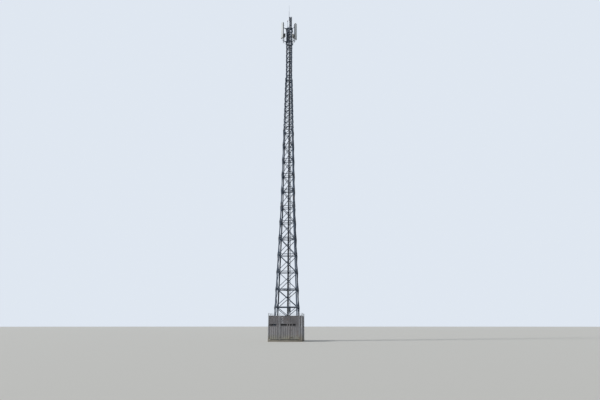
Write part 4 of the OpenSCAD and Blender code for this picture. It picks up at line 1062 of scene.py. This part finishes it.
# %% Spines, screws and connector nuts of the antennas
connector_nut = turned([(0.0165, -0.006), (0.019, -0.004), (0.019, 0.006), (0.0165, 0.008)], 6)
spine = block(0.006, 0.11, ANTENNA_LEN - 0.12, 0.0015, 0.002)
socket_points = [(ANTENNA_BACK + x * ANTENNA_D, y, -0.012) for x in (0.3, 0.7) for y in socket_ys]
screw_zs = (0.01, ANTENNA_LEN - 0.01)
back_points = [(ANTENNA_BACK - 0.003, y, z) for y in (-0.12, -0.04, 0.04, 0.12) for z in screw_zs]
radome_screws, spines = [], []
for base in antenna_frames:
    radome_screws.append(stamped(connector_nut, base, socket_points))
    for s in (-1, 1):
        flank_y = s * (ANTENNA_W / 2 + 0.003)
        flank_points = [(ANTENNA_BACK + x, flank_y, z) for x in (0.03, 0.09) for z in screw_zs]
        radome_screws.append(stamped(screw, base, flank_points, 1.0, (0, s, 0)))
    radome_screws.append(stamped(screw, base, back_points, 1.0, (-1, 0, 0)))
    spines.append(stamped(spine, base, [(ANTENNA_BACK - 0.003, 0, 0.06)]))
make_piece("radome_screws", join(radome_screws), BOLTS)
make_piece("antenna_spines", join(spines), TRAY)

# %% Handles, covers and screws of the radio units
handle_line = [(0, y, z) for y, z in ((-0.055, -0.004), (-0.055, 0.022), (-0.042, 0.034))]
handle_line += [(0, -y, z) for _, y, z in handle_line[::-1]]
handle = sweep(smooth_line(handle_line, 4), 0.005, 8, (1, 0.02, 0))
cover = block(0.1, RADIO_W - 0.05, 0.004, 0.0012, 0.012)
radio_zs = (0.007, RADIO_H - 0.007)
radio_sockets = [(RADIO_X, s * CONNECTOR_Y, -0.012) for s in (-1, 0, 1)]
radio_details, radio_screws = [], []
for i, bottom in enumerate(bottoms):
    base = pipe_frame(i, bottom + RADIO_UP)
    radio_details.append(stamped(handle, base, [(RADIO_X, 0, RADIO_H)]))
    radio_details.append(stamped(cover, base, [(RADIO_X, 0, -0.003)]))
    for s in (-1, 1):
        flank_y = s * (RADIO_W / 2 + 0.004)
        flank_points = [(-RADIO_BACK - x, flank_y, z) for x in (0.02, 0.07, 0.12) for z in radio_zs]
        radio_screws.append(stamped(screw, base, flank_points, 1.0, (0, s, 0)))
    radio_screws.append(stamped(connector_nut, base, radio_sockets))
make_piece("radio_details", join(radio_details), RADIO)
make_piece("radio_screws", join(radio_screws), BOLTS)

# %% Straps that hang the jumpers under the lower ring
RING_HALF, BOW_R = 0.0258, 0.0107
bow = [(BOW_R * math.cos(a), BOW_R * math.sin(a) - 0.066) for a in np.linspace(-np.pi, 0, 7)]
outline = [(-RING_HALF, 0.0508), (-RING_HALF, -0.0008), *bow]
outline += [(RING_HALF, -0.0008), (RING_HALF, 0.0508)]
hanger = hoop([(x, 0, z) for x, z in outline], (0, -1, 0), 0.016, 0.0015)
hanger_points = [(-RING_MIDDLE, 0.1157, LOWER_RING), (RING_MIDDLE, 0.1132, LOWER_RING)]
make_piece("jumper_hangers", stamped(hanger, AXIS, hanger_points), BOLTS)

# %% [markdown]
# ## Lightning rod, down-conductor and warning lamp
# A round wire leads from the rod's foot down the front of the ladder's left rail into the concrete,
# held by a clip every metre. The lamp's own cable comes up from the entry box beside the feeders. Both
# could be one long cylinder each, but a real wire is bent by hand where it changes sides. So each is
# a list of the points that it passes, with a smooth curve through them.

# %% Down-conductor and its clips
ROD_LEN, ROD_X, ROD_Y = 1.65, LADDER_X - LADDER_W / 2 - 0.03, LADDER_Y + RAIL_D / 2
ROD_LOW = LADDER_TOP - 0.5
WIRE_X, WIRE_Y = LADDER_X - LADDER_W / 2 + 0.012, LADDER_Y - 0.0045
wire_points = [
    (ROD_X, ROD_Y, ROD_LOW + 0.005),
    (ROD_X, ROD_Y, ROD_LOW - 0.03),
    (ROD_X + 0.004, ROD_Y - 0.006, ROD_LOW - 0.08),
    (WIRE_X - 0.006, WIRE_Y + 0.0005, ROD_LOW - 0.17),
    (WIRE_X, WIRE_Y, ROD_LOW - 0.24),
]
wire_points += [(WIRE_X, WIRE_Y, z) for z in np.linspace(ROD_LOW - 0.6, SLAB_TOP + 0.002, 30)]
make_piece("down_conductor", sweep(smooth_line(wire_points, 3) + (TOWER_X, 0, 0), 0.004, 8), BOLTS)
clip_screws = placed(screw, [(s * 0.0105, -0.0045, 0.009) for s in (-1, 1)], 0.8, (0, -1, 0))
clip = join([block(0.03, 0.0095, 0.018, 0.0015), clip_screws])
clip_points = [(WIRE_X, WIRE_Y - 0.0003, z) for z in np.arange(0.92, ROD_LOW - 0.5, 1.0)]
make_piece("conductor_clips", stamped(clip, AXIS, clip_points), BOLTS)
coupling = turned([(0.0175, 0), (0.0205, 0.004), (0.0205, 0.036), (0.0175, 0.04)], 20)
tube_top = 0.45 * ROD_LEN + 0.5
rod_frame = frame_at(ROD_X, ROD_Y, ROD_LOW)
rod_bolts = stamped(bolt, rod_frame, [(0, -0.022, z) for z in (0.08, 0.4)], 0.55, (0, -1, 0))
rod_collars = stamped(coupling, rod_frame, [(0, 0, 0), (0, 0, tube_top - 0.062)])
make_piece("rod_fittings", join([rod_collars, rod_bolts]), BOLTS)

# %% Lamp fittings
LAMP_X, LAMP_Y, POLE_R, CABLE_R = -0.24, RING_MIDDLE, 0.021, 0.0045
lamp_low, box_z = HEAD_TOP + 1.5, HEAD_TOP + 0.35
band_edge = [(0.0375, 0.018), (0.049, 0.02), (0.0505, 0.024), (0.0505, 0.034), (0.049, 0.038)]
band = turned([*band_edge, (0.0375, 0.04)], 32)
neck = turned([(0.022, -0.07), (0.0265, -0.066), (0.0265, -0.012), (0.034, -0.002), (0.022, 0.0)], 24)
control_lid = placed(block(0.096, 0.061, 0.012, 0.002), [(0, 0, 0.12)])
control = join([block(0.09, 0.055, 0.13, 0.004), control_lid])
pole_ring = rounded_path(2 * POLE_R + 0.0006, 2 * POLE_R + 0.0006, POLE_R + 0.0002, 7)
pole_band = hoop(pole_ring, (0, 0, 1), 0.014, 0.0012)
lamp_fittings = join([
    copies(join([band, neck]), [frame_at(LAMP_X, LAMP_Y, lamp_low)]),
    copies(control, [frame_at(LAMP_X, LAMP_Y - POLE_R - 0.0275, box_z)]),
    stamped(pole_band, AXIS, [(LAMP_X, LAMP_Y, box_z + z) for z in (0.03, 0.1, 0.55, 0.95)]),
])
make_piece("lamp_fittings", lamp_fittings, LADDER)

# %% The lamp's supply cable
to_lamp = [(0.012, -0.05, 0.12), (0.016, -0.045, 0.19), (0.016, -0.03, 0.27)]
to_lamp += [(0.0155, -0.0195, z) for z in np.linspace(0.4, 1.06, 6)]
to_lamp += [(0.019, -0.0235, 1.12), (0.022, -0.0265, 1.152)]
to_lamp = np.array(to_lamp) + (LAMP_X, LAMP_Y, box_z)
low_bar = head_crossbars[0] + 0.0248
supply = [
    (LAMP_X, LAMP_Y - 0.045, box_z + 0.004),
    (LAMP_X, LAMP_Y - 0.045, box_z - 0.06),
    (LAMP_X, LAMP_Y - 0.03, HEAD_TOP + 0.16),
    (LAMP_X, LAMP_Y - 0.031, HEAD_TOP + 0.06),
    (LAMP_X, LAMP_Y - 0.045, HEAD_TOP + 0.02),
    (LAMP_X + 0.002, 0.3, HEAD_TOP + 0.012),
    (LAMP_X + 0.003, 0.272, HEAD_TOP - 0.03),
    (LAMP_X - 0.002, 0.282, HEAD_TOP - 0.15),
]
supply += [(LAMP_X - 0.005, 0.2875, z) for z in np.linspace(HEAD_TOP - 0.35, low_bar + 0.45, 10)]
supply += [
    (x, y, low_bar + z) for x, y, z in (
        (-0.24, 0.27, 0.2), (-0.22, 0.2, 0.06), (-0.19, 0.14, 0.003), (-0.15, 0.127, 0),
        (-0.115, 0.133, 0), (-0.095, 0.148, -0.006), (-0.083, 0.156, -0.05), (-0.05, 0.163, -0.2),
    )
]
supply += [(FEEDER_X - 0.092, FEEDER_Y, z) for z in np.linspace(low_bar - 0.45, SLAB_TOP + 0.33, 40)]
lamp_cables = join([
    sweep(smooth_line(line, steps) + (TOWER_X, 0, 0), CABLE_R, 8)
    for line, steps in ((to_lamp, 4), (supply, 3))
])
make_piece("lamp_cables", lamp_cables, JACKET)
tie = hoop(rounded_path(0.0481, 0.0306, 0.0152), (0, 0, 1), 0.008, 0.001)
tie_points = [(FEEDER_X - 0.0725, FEEDER_Y, z) for z in np.arange(0.9, low_bar - 0.5, 1.1)]
make_piece("cable_ties", stamped(tie, AXIS, tie_points), JACKET)

# %% [markdown]
# ## Fence and gate
# The fence is where a person stands, so its small parts count most: rivets along the sheets and slats,
# barbs on the wires, caps on the posts, bolts and a padlock on the gate. A barb is four short pointed
# needles. They could be bent wire wound round the strand, but at this size only the points are seen.

# %% Where the fence's fields lie
HALF, POST_W, FRAME_W, FENCE_TOP, SHEET_TOP, SLOT_H = 1.555, 0.06, 0.04, 2.28, 1.34, 0.17
FENCE_LOW, GATE_W, STRIP_W, GAP = SLAB_TOP + 0.045, 1.725, 0.16, 0.006
RIB_PITCH, SLAT_PITCH, SLAT_GAP = 0.17, 0.075, 0.012
GATE_RIGHT = HALF - 2 * POST_W - STRIP_W
GATE_X = GATE_RIGHT - GATE_W
LEAF_W, LEAF_LOW, LEAF_TOP = (GATE_W - 3 * GAP) / 2, FENCE_LOW + 0.015, FENCE_TOP - 0.015
HINGE_LEVELS = (LEAF_LOW + 0.15, (LEAF_LOW + LEAF_TOP) / 2, LEAF_TOP - 0.25)
BAY = (2 * HALF - 3 * POST_W) / 2 - 2 * SEAT
LEFT_BAY = GATE_X + HALF - 2 * POST_W - 2 * SEAT
bay_left = -HALF + POST_W + SEAT
bay_right = bay_left + BAY + POST_W + 2 * SEAT
yard = np.eye(4)


def side_of_yard(turn):
    """Frame of one side of the fence: X along it, Y into the yard, its origin the yard's centre."""
    return np.array(Matrix.Rotation(math.radians(turn), 4, "Z"))


FIELDS = [
    (side_of_yard(turn), x, -HALF + 0.01, BAY, FENCE_LOW, FENCE_TOP, 0.0)
    for turn in QUARTERS[1:] for x in (bay_left, bay_right)
]
FIELDS.append((yard, bay_left, -HALF + 0.01, LEFT_BAY, FENCE_LOW, FENCE_TOP, SLOT_H))
left_start, right_start = GATE_X + GAP, GATE_RIGHT - GAP - LEAF_W
left_field, right_field = [
    (yard, start, -HALF, LEAF_W, LEAF_LOW, LEAF_TOP, SLOT_H) for start in (left_start, right_start)
]
print("fields:", len(FIELDS), "and two leaves; gate", round(GATE_X, 3), "to", round(GATE_RIGHT, 3))

# %% Rivets of the sheets and slats
rivet = turned([(0.0058, 0), (0.0046, 0.0018), (0.0022, 0.0026)], 6)


def rivet_places(field, mirrored=False):
    """Rivets of one field: on the sheet's flats near both edges, and three on each slat."""
    base, start, front, length, low, high, slot = field
    inside = length - 2 * FRAME_W
    ribs, slats = int(inside / RIB_PITCH + 1e-6), int(inside / SLAT_PITCH + 1e-6)
    pitch, step = inside / ribs, (inside + SLAT_GAP) / slats
    flat_xs = [i * pitch + s * 0.03 for i in range(ribs + 1) for s in (-1, 1)]
    flat_zs = (low + FRAME_W + 0.018, SHEET_TOP - 0.018)
    rows = [(x, 0.008, z) for x in flat_xs for z in flat_zs if 0 < x < inside]
    slats_low = SHEET_TOP + FRAME_W + (slot + FRAME_W if slot else 0)
    slat_xs = [i * step + (step - SLAT_GAP) / 2 for i in range(slats)]
    slat_zs = (slats_low + 0.012, (slats_low + high - FRAME_W) / 2, high - FRAME_W - 0.012)
    rows += [(x, FRAME_W / 2 - 0.003, z) for x in slat_xs for z in slat_zs]
    points = np.array(rows) + (FRAME_W, 0, 0)
    if mirrored:
        points = points * (-1, 1, 1) + (length, 0, 0)
    return spots(base, points + (start, front, 0), 1.0, (0, -1, 0))


fence_rivets = np.concatenate([rivet_places(field) for field in FIELDS])
make_piece("fence_rivets", copies(rivet, fence_rivets), FENCE)
make_piece("left_leaf_rivets", copies(rivet, rivet_places(left_field)), FENCE, "left_leaf")
make_piece("right_leaf_rivets", copies(rivet, rivet_places(right_field, True)), FENCE, "right_leaf")

# %% Black flaps behind the gate's slots: painted shade for the dark yard seen through them
flap = block(LEAF_W - 0.02, 0.004, SLOT_H + 0.03, 0.001, 0.0015)
flap_y, flap_z = -HALF + FRAME_W + 0.0025, SHEET_TOP + FRAME_W - 0.015
left_middle, right_middle = left_start + LEAF_W / 2, GATE_RIGHT - GAP - LEAF_W / 2
left_flap = stamped(flap, yard, [(left_middle, flap_y, flap_z)])
right_flap = stamped(flap, yard, [(right_middle, flap_y, flap_z)])
make_piece("left_slot_shade_flap", left_flap, SHADE_FLAPS, "left_leaf")
make_piece("right_slot_shade_flap", right_flap, SHADE_FLAPS, "right_leaf")

# %% Barbs and clips of the wires
needle = turned([(0.0015, 0), (0.0011, 0.014), (0.0002, 0.024)], 4)
needle_ends = [(0.35, -0.1, 0.92), (-0.35, 0.3, 0.88), (0.3, 0.35, -0.88), (-0.35, -0.1, -0.92)]
needle_xs = (0.01, -0.01, 0.01, -0.01)
needles = [placed(needle, [(x, 0, 0)], 1.0, end) for x, end in zip(needle_xs, needle_ends)]
wrap = turned([(0.0036, -0.008), (0.004, -0.006), (0.004, 0.006), (0.0036, 0.008)], 6)
barb = join([*needles, placed(wrap, [(0, 0, 0)], 1.0, (1, 0, 0))])
strand_zs = [FENCE_TOP + k * 0.23 for k in (0.3, 0.6, 0.9)]
strand_y = -HALF - 0.002 - SEAT
barb_xs = np.arange(-HALF + 0.05, HALF - 0.09, 0.085)
barb_rows = [(x + 0.028 * k, strand_y, z) for k, z in enumerate(strand_zs) for x in barb_xs]
barb_places = np.concatenate([spots(side_of_yard(turn), barb_rows) for turn in QUARTERS])
make_piece("wire_barbs", copies(barb, barb_places), WIRE)
INSET = 0.017
corner_x, middle_x = HALF - INSET, POST_W / 2 - INSET
clip_xs = {
    0: (-corner_x, corner_x, GATE_X - POST_W + INSET, GATE_RIGHT + POST_W - INSET),
    90: (-corner_x, middle_x, corner_x),
    180: (-corner_x, middle_x, corner_x),
    270: (-corner_x, -middle_x, corner_x),
}
staple = block(0.014, 0.005, 0.016, 0.0012)
staples = []
for turn, xs in clip_xs.items():
    staple_points = [(x, -HALF - 0.0025, z - 0.008) for x in xs for z in strand_zs]
    staples.append(stamped(staple, side_of_yard(turn), staple_points))
make_piece("wire_clips", join(staples), WIRE_CLIPS)

# %% Caps of the posts
far, mid = HALF - POST_W, -POST_W / 2
post_xy = [(-HALF, -HALF), (far, -HALF), (-HALF, far), (far, far), (-HALF, mid), (far, mid)]
post_xy = np.array([*post_xy, (mid, far), (GATE_X - POST_W, -HALF), (GATE_RIGHT, -HALF)])
stub_xy = post_xy + np.where(post_xy > 0, POST_W - INSET, INSET)
post_cap = block(POST_W + 0.005, POST_W + 0.005, 0.007, 0.002, 0.005)
stub_cap = turned([(0.0265, 0), (0.0265, 0.004), (0.02, 0.0085), (0.003, 0.0115)], 4, np.pi / 4)
caps = join([
    stamped(post_cap, yard, [(x, y, FENCE_TOP + 0.0115) for x, y in post_xy + POST_W / 2]),
    stamped(stub_cap, yard, [(x, y, FENCE_TOP + 0.2295) for x, y in stub_xy]),
])
make_piece("post_caps", caps, FENCE)

# %% Bolts of the hinges and of the front posts' feet
low_xs = (GATE_X - 0.022, GATE_RIGHT + 0.022)
high_xs = (GATE_X - 0.034, GATE_RIGHT + 0.034)
hinge_points = [
    (x, -HALF - 0.005, z + h)
    for z in HINGE_LEVELS for h, xs in ((0.013, low_xs), (0.037, high_xs)) for x in xs
]
make_piece("hinge_bolts", stamped(bolt, yard, hinge_points, 0.36, (0, -1, 0)), FENCE_BOLTS)
front_xs = [x + POST_W / 2 for x, y in post_xy if y == -HALF]
foot_points = [(x, -HALF + POST_W + 0.013, SLAB_TOP + 0.008) for x in front_xs]
make_piece("post_foot_bolts", stamped(bolt, yard, foot_points, 0.5), FENCE_BOLTS)

# %% [markdown]
# ### What a hand touches at the gate
# Each leaf has a bent pull handle. The right leaf's sliding bolt has a padlock on its handle, and a
# drop bolt holds the left leaf to the concrete. They swing with the leaves, so each piece rides on its
# own leaf. A handle is a swept line whose first and last points lie inside the frame tube.

# %% Handles
HANDLE_Z, HANDLE_LEN = 1.06, 0.16


def pull_handle(x, z):
    """Bent round bar that stands 42 mm off the frame, with a foot plate at each end."""
    ends = (z, z + HANDLE_LEN)
    line = [(x, -HALF + 0.006, z), (x, -HALF - 0.022, z), (x, -HALF - 0.042, z + 0.02)]
    line += [(x, -HALF - 0.042, z + 0.14), (x, -HALF - 0.022, ends[1]), (x, -HALF + 0.006, ends[1])]
    foot = turned([(0.0165, -0.001), (0.0165, 0.003), (0.0085, 0.006)], 16)
    feet = placed(foot, [(x, -HALF, end) for end in ends], 1.0, (0, -1, 0))
    return join([sweep(smooth_line(line, 5), 0.0065, 12, (1, 0.02, 0)), feet])


left_x, right_x = GATE_X + GAP + LEAF_W - 0.02, GATE_RIGHT - GAP - LEAF_W + 0.02
make_piece("left_handle", pull_handle(left_x, HANDLE_Z), FENCE_BOLTS, "left_leaf")
make_piece("right_handle", pull_handle(right_x, HANDLE_Z), FENCE_BOLTS, "right_leaf")

# %% Drop bolt
drop_y = -HALF - 0.011
drop_line = [(left_x, drop_y, z) for z in (0.158, 0.2, 0.25, 0.3, 0.33)]
drop_line.append((left_x - 0.006, drop_y, 0.346))
drop_line += [(left_x - x, -HALF - 0.012, 0.352) for x in (0.02, 0.06)]
guide = hoop(rounded_path(0.025, 0.021, 0.009, 6), (0, 0, 1), 0.022, 0.0025)
guide_plate = block(0.056, 0.003, 0.03, 0.001, 0.0015)
drop_bolt = join([
    sweep(smooth_line(drop_line, 5), 0.0075, 12, (0, 1, 0.03)),
    placed(guide, [(left_x, drop_y, z) for z in (0.232, 0.3)]),
    placed(guide_plate, [(left_x - 0.003, -HALF - 0.0012, z) for z in (0.217, 0.285)]),
])
make_piece("drop_bolt", drop_bolt, FENCE_BOLTS, "left_leaf")

# %% Padlock and the sliding bolt's screws
lock_x, lock_y, lock_z = GATE_RIGHT - LEAF_W + 0.1814, -HALF - 0.048, 0.339
bow_r, bow_turn = 0.0115, np.linspace(0, np.pi, 13)
bow = [lock_x + bow_r * np.cos(bow_turn), 0 * bow_turn + lock_y, 0.4005 + bow_r * np.sin(bow_turn)]
bow = np.stack(bow, -1)
shackle = np.concatenate([[bow[0] - (0, 0, 0.04)], bow, [bow[-1] - (0, 0, 0.04)]])
lock_lid = turned([(0.0055, -0.001), (0.0055, 0.001), (0.003, 0.0016)], 12)
lock_body = join([
    placed(block(0.04, 0.019, 0.036, 0.0025, 0.006, 3), [(lock_x, lock_y, lock_z)]),
    placed(lock_lid, [(lock_x, lock_y, lock_z)], 1.0, (0, 0, -1)),
])
make_piece("padlock_shackle", sweep(shackle, 0.0035, 10, (0, 1, 0.02)), FENCE_BOLTS, "right_leaf")
make_piece("padlock_body", lock_body, LOCK, "right_leaf")
plate_xs = [GATE_RIGHT - LEAF_W + x for x in (0.012, 0.268)]
plate_points = [(x, -HALF - 0.003, 0.4 + z) for x in plate_xs for z in (-0.026, 0.026)]
plate_screws = stamped(screw, yard, plate_points, 1.2, (0, -1, 0))
make_piece("slide_bolt_screws", plate_screws, FENCE_BOLTS, "right_leaf")

# %% [markdown]
# ## Slab, ladder and boxes
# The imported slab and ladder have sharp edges, which a bevel could round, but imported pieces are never
# changed. So they get a finer skin of the same size. The slab and its blocks have struck, rounded
# edges. The ladder's rails have the round corners of rolled tube, its rungs a ring of weld at both
# ends, and the guide rail in its middle the T shape that a climber's catch grips.

# %% Slab with struck edges
slab_side, BLOCK_SIDE, BLOCK_H = 2 * HALF + 0.02, 0.38, 0.084
slab = copies(block(slab_side, slab_side, SLAB_TOP, 0.01, 0.018), [yard])
foot_block = block(BLOCK_SIDE, BLOCK_SIDE, BLOCK_H, 0.008, 0.014)
blocks = copies(foot_block, foot_places @ moved(0, 0, BLOCK_TOP - BLOCK_H))
slab_piece = make_piece("slab_and_blocks", join([slab, blocks]), CONCRETE)
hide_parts("foundation_slab")

# %% Ladder with welded rungs and a T-shaped guide rail
rail_h = LADDER_TOP - SLAB_TOP
ladder_frame = frame_at(LADDER_X, LADDER_Y + RAIL_D / 2, SLAB_TOP)
rail_x = LADDER_W / 2 - RAIL_W / 2
ladder_rails = join([
    placed(block(RAIL_W, RAIL_D, rail_h, 0.002, 0.008, 3), [(-rail_x, 0, 0), (rail_x, 0, 0)]),
    placed(block(0.04, 0.006, rail_h, 0.001, 0.002), [(0, -RAIL_D / 2 + 0.003, 0)]),
    placed(block(0.012, 0.016, rail_h - 0.001, 0.001, 0.002), [(0, -RAIL_D / 2 + 0.012, 0)]),
])
half_rung = [(0.0185, -0.1005), (0.0152, -0.0955), (0.014, -0.091)]
rung = turned([*half_rung, *[(r, -z) for r, z in half_rung[::-1]]], 14)
rung_zs = [0.3 * i for i in range(1, int((rail_h - 0.1) / 0.3) + 1)]
ladder_rungs = placed(rung, [(0, 0, z) for z in rung_zs], 1.0, (1, 0, 0))
for name, shape in (("ladder_rails", ladder_rails), ("ladder_rungs", ladder_rungs)):
    piece = make_piece(name, copies(shape, [ladder_frame]), LADDER)
    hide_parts("ladder")

# %% Slotted tray behind the ladder's free top
rise_low, rise_high = HEAD_TOP + 0.06, LADDER_TOP - 0.05
rise_h = rise_high - rise_low
inner_w, slot_w = LADDER_W - 2 * RAIL_W, 0.009
strip_w = (inner_w - 0.002 - 4 * slot_w) / 5
strip_xs = (np.arange(5) - 2) * (strip_w + slot_w)
flange_x = inner_w / 2 - 0.002
flange_points = [(-flange_x, -0.011, 0), (flange_x, -0.011, 0)]
screw_points = [(x, 0.001, z) for x in (-0.06, 0.06) for z in (0.02, rise_h / 2, rise_h - 0.02)]
bridge_points = [(0, 0, z) for z in np.arange(0.0, rise_h - 0.03, 0.1)]
rise_tray = join([
    placed(block(strip_w, 0.002, rise_h, 0.0006, 0.0008), [(x, 0, 0) for x in strip_xs]),
    placed(block(inner_w - 0.002, 0.0018, 0.03, 0.0005, 0.0007), bridge_points),
    placed(block(0.0025, 0.022, rise_h, 0.0006, 0.001), flange_points),
    placed(screw, screw_points, 1.2, (0, 1, 0)),
])
tray_place = frame_at(LADDER_X, LADDER_Y + (RAIL_D - 0.006), rise_low)
make_piece("rise_tray", copies(rise_tray, [tray_place]), LADDER)

# %% Plates over the cable blocks
cover_plate = join([
    block(0.176, 0.003, 0.03, 0.001, 0.0015),
    placed(bolt, [(x, 0.0015, 0.015) for x in (-0.0805, 0.0805)], 0.33, (0, 1, 0)),
])
cover_points = [(FEEDER_X, FEEDER_Y + 0.0226, z - 0.015) for z in held]
make_piece("cable_block_plates", stamped(cover_plate, AXIS, cover_points), BOLTS)

# %% Entry box and junction box
ENTRY_Y = LADDER_Y + RAIL_D + 0.135
JUNCTION_X, JUNCTION_Y = LADDER_X + LADDER_W / 2 - 0.04, BAR_Y + 0.065
JUNCTION_LOW = level_z(1) - 0.43
door_y = BAR_Y + 0.133
lid_xs = (FEEDER_X - 0.155, FEEDER_X + 0.155)
lid_points = [(x, ENTRY_Y + y, FEEDER_LOW) for x in lid_xs for y in (-0.105, 0.105)]
lid_points += [(x, ENTRY_Y, FEEDER_LOW) for x in lid_xs]
rim_points = [(FEEDER_X, ENTRY_Y + y, FEEDER_LOW - 0.002) for y in (-0.0992, 0.0992)]
gland_points = [(JUNCTION_X + x, JUNCTION_Y, JUNCTION_LOW) for x in (-0.04, 0, 0.04)]
knob_points = [(JUNCTION_X - 0.052, door_y, JUNCTION_LOW + z) for z in (0.13, 0.27)]
door_hinge_points = [(JUNCTION_X + 0.0725, door_y - 0.001, JUNCTION_LOW + z) for z in (0.06, 0.28)]
gland_edge = [(0.0125, -0.024), (0.0155, -0.02), (0.0155, -0.011), (0.0185, -0.009), (0.0185, 0.001)]
knob = turned([(0.013, 0), (0.013, 0.004), (0.009, 0.005), (0.009, 0.011), (0.0075, 0.0125)], 16)
box_parts = join([
    stamped(turned(gland_edge, 12), AXIS, gland_points),
    stamped(knob, AXIS, knob_points, 1.0, (0, 1, 0)),
    stamped(turned([(0.0045, 0), (0.0045, 0.05)], 10), AXIS, door_hinge_points),
    stamped(block(0.3, 0.012, 0.012, 0.002), AXIS, rim_points),
    stamped(screw, AXIS, lid_points, 1.5),
])
make_piece("box_fittings", box_parts, BOLTS)

# %% Conduits below the junction box
conduits = []
for gland_x, pipe_x in ((0.0, 0.026), (0.04, 0.055)):
    drop = [(gland_x, JUNCTION_LOW + 0.004), (gland_x, JUNCTION_LOW - 0.06)]
    drop += [(gland_x + 0.006, JUNCTION_LOW - 0.12), (pipe_x, JUNCTION_LOW - 0.24)]
    drop += [(pipe_x, z) for z in np.linspace(JUNCTION_LOW - 0.4, SLAB_TOP + 0.004, 7)]
    conduit = smooth_line([(JUNCTION_X + x, JUNCTION_Y, z) for x, z in drop], 4)
    conduits.append(sweep(conduit + (TOWER_X, 0, 0), 0.0105, 14, (0, 1, 0.02)))
make_piece("conduits", join(conduits), JACKET)
saddle_screws = placed(screw, [(x, 0.012, 0.015) for x in (-0.0265, 0.0265)], 1.0, (0, 1, 0))
saddle = join([block(0.062, 0.024, 0.03, 0.003), saddle_screws])
saddle_points = [(JUNCTION_X + 0.0405, BAR_Y + BAR_D + SEAT + 0.012, crossbars[0] - 0.015)]
make_piece("conduit_saddle", stamped(saddle, AXIS, saddle_points), BOLTS)

# %% Earthing wires of two feet
earth_line = [(0.132, 0.253), (0.15, 0.254), (0.172, 0.252), (0.19, 0.24), (0.2, 0.215), (0.204, 0.18)]
earth_line = [(x, 0, z) for x, z in [*earth_line, (0.205, 0.148)]]
earth = join([
    sweep(smooth_line(earth_line, 5), 0.005, 10, (0, 1, 0.02)),
    placed(block(0.03, 0.024, 0.006, 0.0015), [(0.132, 0, 0.2495)]),
    placed(bolt, [(0.126, 0, 0.2555)], 0.55),
    placed(turned([(0.014, -0.002), (0.014, 0.004), (0.006, 0.007)], 14), [(0.205, 0, SLAB_TOP)]),
])
make_piece("earthing_wires", copies(earth, foot_places[[0, 2]]), BOLTS)
